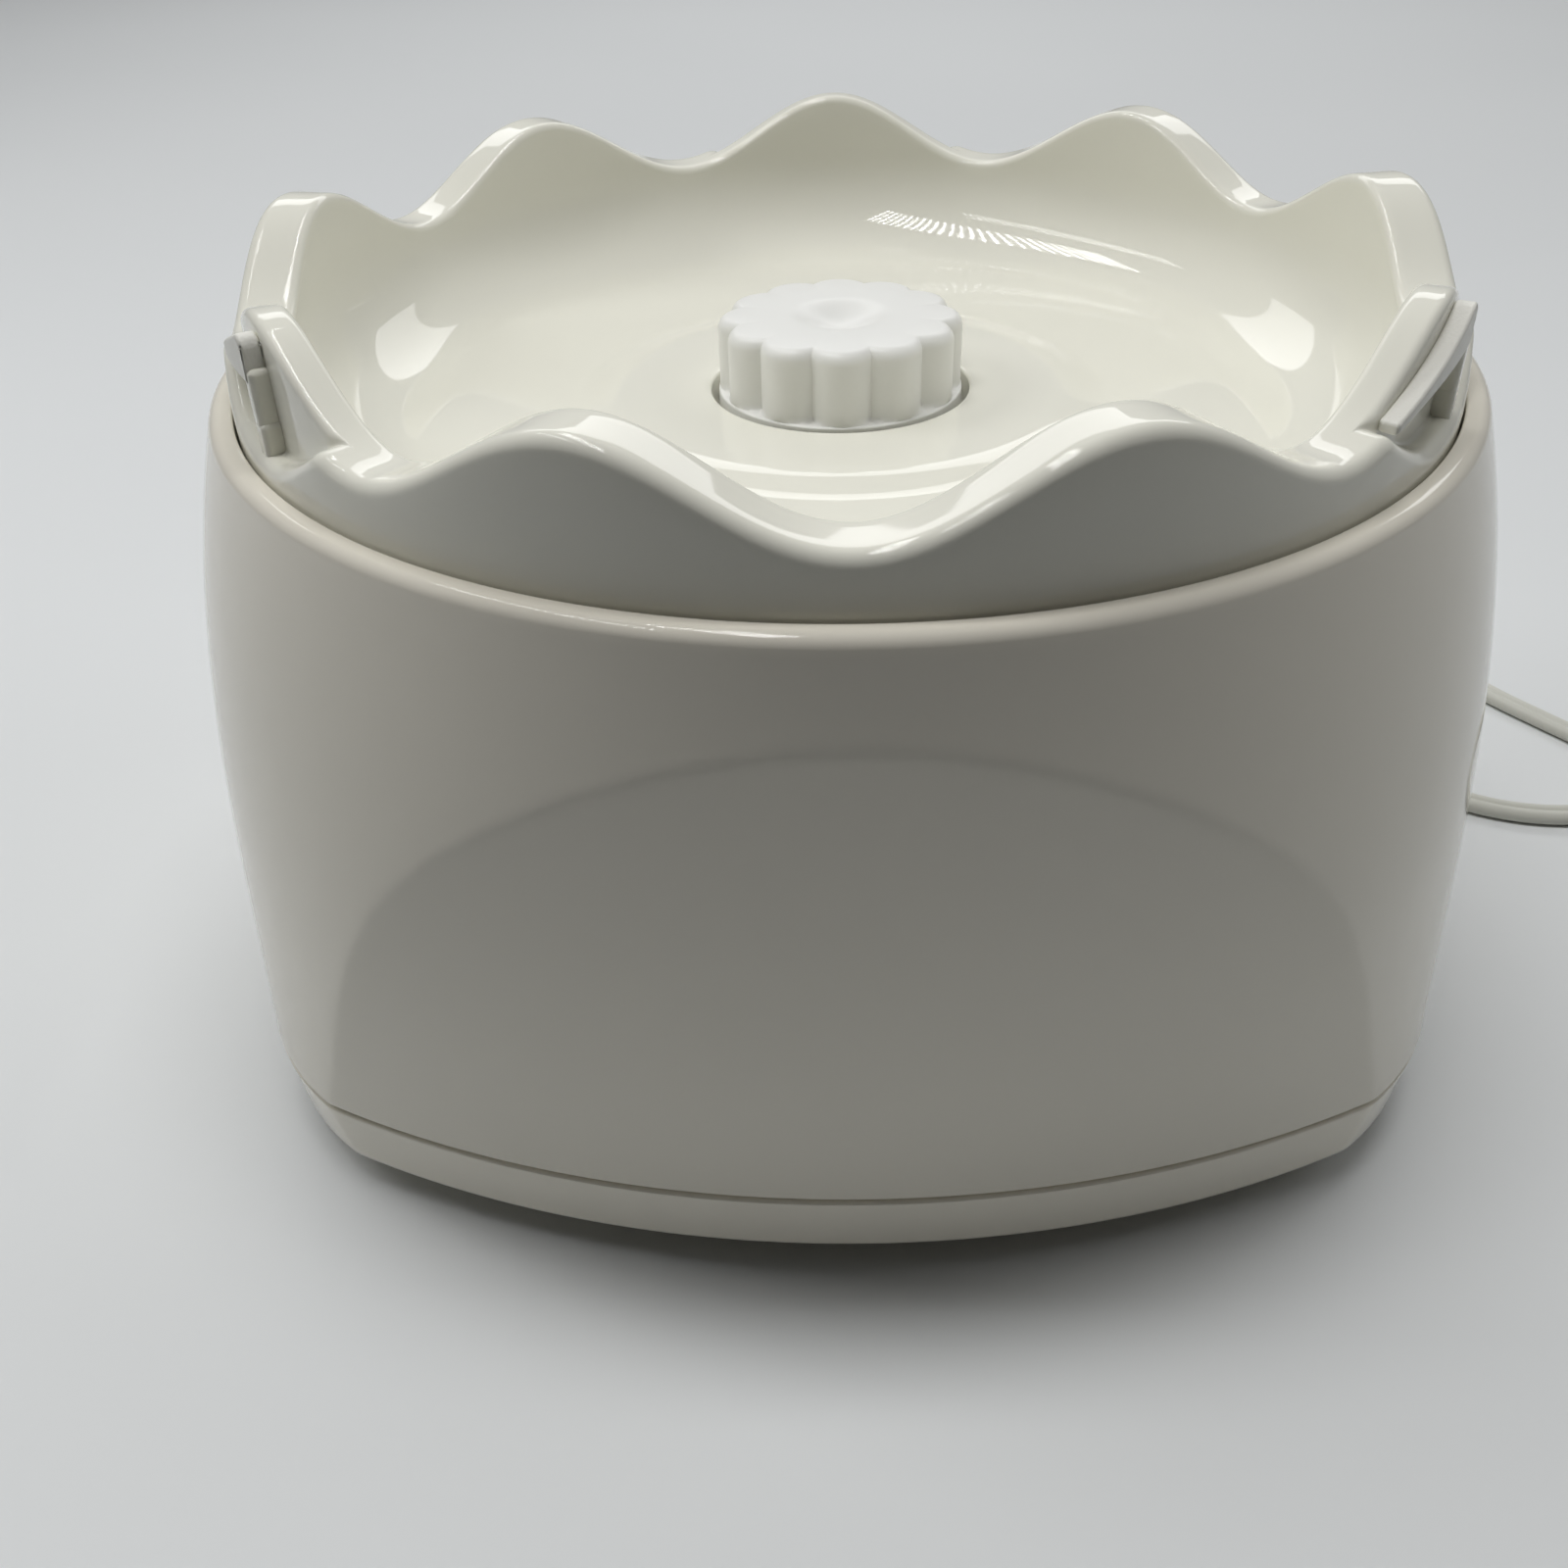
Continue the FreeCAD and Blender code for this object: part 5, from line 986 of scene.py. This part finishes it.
# %% Boot and feet
BOOT_X, BOOT_TIP_Y, BOOT_Z = BOOT_TIP
BOOT_START_Y = 82.0
BOOT_FLANGE_Y = 91.1
BOOT_FLANGE = 7.6
BOOT_NECK = 5.4
BOOT_TAPER = 1.8
BOOT_TIP_RADIUS = 3.2
BOOT_RIBS = 5
BOOT_GROOVE = 0.9
RIB_PROFILE = ((0.08, 0), (0.55, 0), (0.63, BOOT_GROOVE), (0.92, BOOT_GROOVE), (1.0, 0))
boot_rows = [
    (0, BOOT_START_Y), (BOOT_NECK, BOOT_START_Y), (BOOT_FLANGE, BOOT_FLANGE_Y - 5.0),
    (BOOT_FLANGE, BOOT_FLANGE_Y - 0.6), (BOOT_FLANGE - 0.5, BOOT_FLANGE_Y),
    (BOOT_NECK + 0.1, BOOT_FLANGE_Y + 0.2),
]
ribs_y = BOOT_FLANGE_Y + 0.6
boot_run = BOOT_TIP_Y - 0.6 - ribs_y
for i in range(BOOT_RIBS):
    for share, groove in RIB_PROFILE:
        along = (i + share) / BOOT_RIBS
        boot_rows.append((BOOT_NECK - BOOT_TAPER * along - groove, ribs_y + boot_run * along))
boot_rows += [(BOOT_TIP_RADIUS, BOOT_TIP_Y), (0, BOOT_TIP_Y)]
boot = make_piece("cord_boot", *lathe_y(boot_rows, 48, BOOT_X, BOOT_Z), "base", boot_white, "cord_white")
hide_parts("strain_relief")

FOOT_X, FOOT_Y = 66.0, 52.0
FOOT_RADIUS = 9.0
FOOT_FLAT = 7.2
FOOT_ROUND = 0.8
FOOT_HOLLOW = 5.0
foot_turns = all_turns(56)
foot_top = FOOT_STANDOFF + 1.5
foot_rows = [(AXIS_GAP, 1.0), (FOOT_HOLLOW, 1.0), (FOOT_HOLLOW + 0.4, 0.6), (FOOT_HOLLOW + 0.6, 0.0)]
foot_rows += [(FOOT_FLAT, 0.0)] + corner_arc(FOOT_FLAT, FOOT_ROUND, FOOT_ROUND, -80, -8, 5)
foot_rows += [(FOOT_RADIUS, FOOT_STANDOFF - 0.2), (FOOT_RADIUS, foot_top), (AXIS_GAP, foot_top)]
for end, y in (("front", -FOOT_Y), ("rear", FOOT_Y)):
    for side, x in (("left", -FOOT_X), ("right", FOOT_X)):
        corner = "foot_" + end + "_" + side
        foot = turned_piece(
            "rubber_" + corner, foot_rows, foot_turns, "base", foot_rubber, "rubber_foot", x=x, y=y,
        )
        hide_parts(corner)
print("boot ribs", BOOT_RIBS, "feet 4")

# %% [markdown]
# At its far end the cord has a moulded plug, and a tie holds the coil. The plug is a row of rounded
# sections from a narrow neck to a broad face, with grip ridges half way.

# %% Plug and tie
PLUG_LENGTH = 30.0
PLUG_WIDTH = 26.0
PLUG_HEIGHT = 18.8
PLUG_SIDES = 48
PLUG_NECK = (4.6, 4.2)
PLUG_FLARE = 16.0
PLUG_EDGE = 1.5
PLUG_SQUARE = 0.55
RIDGE_REACH = (15.0, 25.0)
RIDGE_PITCH = 3.2
RIDGE_HEIGHT = 0.45


def square_ring(sides, power):
    """Points of a ring of size one, pushed out towards the corners by a power below one."""
    for turn in all_turns(sides):
        c, s = math.cos(turn), math.sin(turn)
        yield math.copysign(abs(c) ** power, c), math.copysign(abs(s) ** power, s)


def plug_section(along):
    """Half width and half height of the plug at a distance from its neck."""
    share = ease(min(1.0, along / PLUG_FLARE))
    ridge = 0.0
    if RIDGE_REACH[0] < along < RIDGE_REACH[1]:
        ridge = RIDGE_HEIGHT * math.sin(along * 2 * math.pi / RIDGE_PITCH)
    close = 1.0 - 0.06 * max(0.0, along - PLUG_LENGTH + PLUG_EDGE) / PLUG_EDGE
    half_wide = PLUG_NECK[0] + (PLUG_WIDTH / 2 - 0.5 - PLUG_NECK[0]) * share + ridge
    half_high = PLUG_NECK[1] + (PLUG_HEIGHT / 2 - 0.5 - PLUG_NECK[1]) * share + ridge * 0.5
    return half_wide * close, half_high * close


plug_points = []
plug_steps = [0.0, 0.4] + list(np.linspace(1.0, 28.5, 56)) + [29.3, PLUG_LENGTH]
for along in plug_steps:
    half_wide, half_high = plug_section(along)
    for y, z in square_ring(PLUG_SIDES, PLUG_SQUARE):
        plug_points.append(tuple((COIL_END + Vector((-along, -half_wide * y, half_high * z))) * MM))
plug_faces = stack_faces(len(plug_steps), PLUG_SIDES)
plug = make_piece("plug_moulding", plug_points, plug_faces, "base", boot_white, "cord_white", 50.0)
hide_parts("plug_body")

TIE_AROUND = math.radians(45.0)
TIE_WIDTH = 10.0
TIE_THICKNESS = 0.5
TIE_SIDES = 40
TIE_LOWEST = 0.1
tie_middle = COIL_RADIUS - COIL_PITCH * 0.75
tie_half = COIL_PITCH * 0.75 + CORD_WIDTH / 2 + 0.9
tie_mid_z = COIL_LOW + COIL_LAYER / 2
tie_half_z = COIL_LAYER / 2 + CORE_RADIUS + 0.45
tie_points, tie_faces = [], []
tie_cos, tie_sin = math.cos(TIE_AROUND), math.sin(TIE_AROUND)
for outwards, upwards in square_ring(TIE_SIDES, 0.5):
    for grow in (0.0, TIE_THICKNESS):
        reach = tie_middle + (tie_half + grow) * outwards
        height = tie_mid_z + (tie_half_z + grow) * upwards
        for across in (-TIE_WIDTH / 2, TIE_WIDTH / 2):
            tie_points.append((
                COIL_CENTRE[0] + reach * tie_cos - across * tie_sin,
                COIL_CENTRE[1] + reach * tie_sin + across * tie_cos, max(height, TIE_LOWEST),
            ))
for k in range(TIE_SIDES):
    a, b = 4 * k, 4 * ((k + 1) % TIE_SIDES)
    for p, q in ((0, 1), (1, 3), (3, 2), (2, 0)):
        tie_faces.append((a + p, b + p, b + q, a + q))
tie = make_piece("coil_tie", np.array(tie_points) * MM, tie_faces, "base", boot_white, "tie_plastic", 50.0)
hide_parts("cord_tie")
print("plug", len(plug.data.polygons), "faces")

mains_cord.data.materials.append(cord_white)
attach(mains_cord, "base")
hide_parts("cord_lead", "cord_coil")

# %% [markdown]
# Everything inside the casing stays as its CAD solid. Nobody sees it in this picture, but the part may be
# taken apart elsewhere, so each solid gets the finish of its real material from the same two groups.

# %% Finishes of the inner pieces
INNER_FINISHES = {
    drawn("steel", (0.62, 0.62, 0.63), 0.24): (
        "cover_screws", "tray_screws", "output_shaft", "shaft_circlip", "second_pin", "first_pin",
        "gearbox_screws", "motor_screws", "upper_motor_bracket", "lower_motor_bracket", "motor_shaft",
        "switch_nut", "motor_pinion",
    ),
    drawn("lamination_steel", (0.40, 0.40, 0.42), 0.4, 0.2, 2600.0): ("stator_stack", "rotor_core"),
    drawn("bronze", (0.55, 0.42, 0.26), 0.38): (
        "upper_bush", "lower_bush", "upper_motor_bush", "lower_motor_bush",
    ),
    drawn("plated_brass", (0.78, 0.72, 0.58), 0.2): ("plug_blades",),
    moulded("gear_nylon", (0.83, 0.83, 0.79), 0.42, haze=0.1, peel=600.0): (
        "output_gear", "second_gear", "first_gear",
    ),
    moulded("gearbox_plastic", (0.72, 0.72, 0.70), 0.5, haze=0.1, peel=900.0, bump=0.3): (
        "gearbox_plate", "gearbox_housing",
    ),
    moulded("rubber_dark", (0.05, 0.05, 0.05), 0.68, peel=1200.0, bump=0.3): ("shaft_seal",),
    moulded("bobbin_plastic", (0.12, 0.12, 0.13), 0.45, peel=700.0): ("coil_bobbin",),
    moulded("winding_tape", (0.70, 0.54, 0.12), 0.32, haze=0.15, drift=0.2, peel=500.0, bump=0.4): (
        "coil_winding",
    ),
    moulded("fan_plastic", (0.1, 0.1, 0.11), 0.4, peel=700.0): ("cooling_fan",),
    moulded("switch_plastic", (0.08, 0.08, 0.085), 0.4, peel=700.0): ("switch_body", "switch_spindle"),
}
dressed = 0
for material, names in INNER_FINISHES.items():
    for name in names:
        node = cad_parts[name]
        node.data.materials.clear()
        node.data.materials.append(material)
        dressed += 1
print("inner pieces dressed", dressed)

# %% [markdown]
# The floor is one pale sheet, larger than the view. For light that bounces off it, it turns dark in front
# of the object, as a room is dark beyond a lit table. Rays from the camera, and those seen in gloss or
# through glass, still find it pale.

# %% Floor
def seen_or(tree, share):
    """One for a ray from the camera, in gloss or through glass, and a share of its own for other light."""
    path = add_node(tree, "LightPath")
    for sight in ("Is Camera Ray", "Is Glossy Ray", "Is Transmission Ray"):
        larger = add_node(tree, "Math", operation="MAXIMUM")
        wire(tree, share, larger.inputs[0])
        wire(tree, path.outputs[sight], larger.inputs[1])
        share = larger.outputs[0]
    return share


FLOOR_REACH = 3.0
PALE_Y = -0.22
DARK_Y = -0.32
PAPER_TINTS = ((0.74, 0.76, 0.765, 1), (0.79, 0.805, 0.81, 1))
DARK_TINT = (0.06, 0.06, 0.06, 1)
paper = bpy.data.materials.new("floor_paper")
paper.use_nodes = True
paper_tree = paper.node_tree
paper_shader = paper_tree.nodes["Principled BSDF"]
paper_shader.inputs["Specular IOR Level"].default_value = 0.25
paper_place = add_node(paper_tree, "TexCoord")
paper_cloud = add_node(paper_tree, "TexNoise", inputs={"Scale": 1.6, "Detail": 2.0})
cloud_share, _, _, paper_tint = colour_mix(paper_tree, *PAPER_TINTS)
paper_rough = add_node(paper_tree, "MapRange", inputs={"To Min": 0.42, "To Max": 0.55})
paper_axis = add_node(paper_tree, "SeparateXYZ")
paper_near = add_node(paper_tree, "MapRange", interpolation_type="SMOOTHSTEP",
                      inputs={"From Min": DARK_Y, "From Max": PALE_Y})
pale_share, _, pale_tint, paper_seen = colour_mix(paper_tree, DARK_TINT)
wire_all(paper_tree, [
    (paper_place.outputs["Object"], paper_cloud.inputs["Vector"]),
    (paper_place.outputs["Object"], paper_axis.inputs[0]),
    (paper_axis.outputs["Y"], paper_near.inputs["Value"]),
    (paper_cloud.outputs["Fac"], cloud_share),
    (paper_cloud.outputs["Fac"], paper_rough.inputs["Value"]),
    (seen_or(paper_tree, paper_near.outputs["Result"]), pale_share),
    (paper_tint, pale_tint),
    (paper_seen, paper_shader.inputs["Base Color"]),
    (paper_rough.outputs["Result"], paper_shader.inputs["Roughness"]),
])
floor_mesh = bpy.data.meshes.new("floor")
floor_corners = [(FLOOR_REACH * x, FLOOR_REACH * y, 0) for x, y in ((-1, -1), (1, -1), (1, 1), (-1, 1))]
floor_mesh.from_pydata(floor_corners, [], [(0, 1, 2, 3)])
floor_mesh.materials.append(paper)
floor = add_object("floor", floor_mesh)
print("floor", 2 * FLOOR_REACH, "m")

# %% [markdown]
# The light is a studio one. A long panel hangs straight above, with a weaker twin that is the only one of
# the two to show in the gloss. Two fills at the sides stay out of the gloss as well, and a panel at the
# back lights the paper behind. Thin lamps in two rows, seen in gloss alone, give the rows of dashes that
# sparkle in the tray.

# %% Lights
def panel(name, place, width, height, power, target=None, turn=0.0, in_gloss=True, in_diffuse=True):
    """A soft rectangular lamp that faces a target, or straight down. It can be kept out of either light."""
    light = bpy.data.lights.new(name, "AREA")
    light.shape = "RECTANGLE"
    light.size = width
    light.size_y = height
    light.energy = power
    lamp = add_object(name, light)
    lamp.visible_glossy = in_gloss
    lamp.visible_diffuse = in_diffuse
    lamp.location = place
    lamp.rotation_euler = (0.0, 0.0, turn)
    if target:
        lamp.rotation_euler = (Vector(target) - Vector(place)).to_track_quat("-Z", "Y").to_euler()


MAIN_PLACE = (-0.08, -0.01, 1.25)
MAIN_SIZE = (0.9, 0.24)
SIDE_SIZE = (0.4, 0.4)
BACK_SIZE = (1.8, 0.6)
panel("main_panel", MAIN_PLACE, *MAIN_SIZE, 7.6, in_gloss=False)
panel("gloss_panel", MAIN_PLACE, *MAIN_SIZE, 0.9)
panel("left_panel", (-0.8, 0.14, 0.75), *SIDE_SIZE, 2.2, target=(-0.2, 0.05, 0.05), in_gloss=False)
panel("right_panel", (0.9, 0.1, 0.7), *SIDE_SIZE, 1.0, target=(0.25, 0.0, 0.0), in_gloss=False)
panel("back_panel", (0.1, 1.25, 0.9), *BACK_SIZE, 6.8)

STRIP_Z = 0.65
STRIP_LAMPS = 26
STRIP_WIDTH = 0.003
STRIP_TURN = math.radians(-20.0)
STRIP_ROWS = [
    (Vector((-0.072, -0.222, STRIP_Z)), Vector((-0.191, 0.278, STRIP_Z)), 0.18, 0.045),
    (Vector((-0.242, -0.235, STRIP_Z)), Vector((-0.374, 0.260, STRIP_Z)), 0.10, 0.014),
]
for row, (first, last, length, power) in enumerate(STRIP_ROWS):
    for i in range(STRIP_LAMPS):
        place = first.lerp(last, i / (STRIP_LAMPS - 1))
        name = "strip_%d_%02d" % (row, i)
        panel(name, place, STRIP_WIDTH, length, power, turn=STRIP_TURN, in_diffuse=False)

ROOM_TINTS = ((0.012, 0.01, 0.007, 1), (0.2, 0.205, 0.21, 1))
room = bpy.data.worlds.new("room")
bpy.context.scene.world = room
room.use_nodes = True
room_tree = room.node_tree
room_sky = room_tree.nodes["Background"]
room_place = add_node(room_tree, "TexCoord")
room_axis = add_node(room_tree, "SeparateXYZ")
room_share = add_node(room_tree, "MapRange", inputs={"From Min": -0.7, "From Max": 0.7},
                      interpolation_type="SMOOTHSTEP")
depth_share, _, _, room_tint = colour_mix(room_tree, *ROOM_TINTS)
wire_all(room_tree, [
    (room_place.outputs["Generated"], room_axis.inputs[0]),
    (room_axis.outputs["Y"], room_share.inputs["Value"]),
    (seen_or(room_tree, room_share.outputs["Result"]), depth_share),
    (room_tint, room_sky.inputs["Color"]),
])
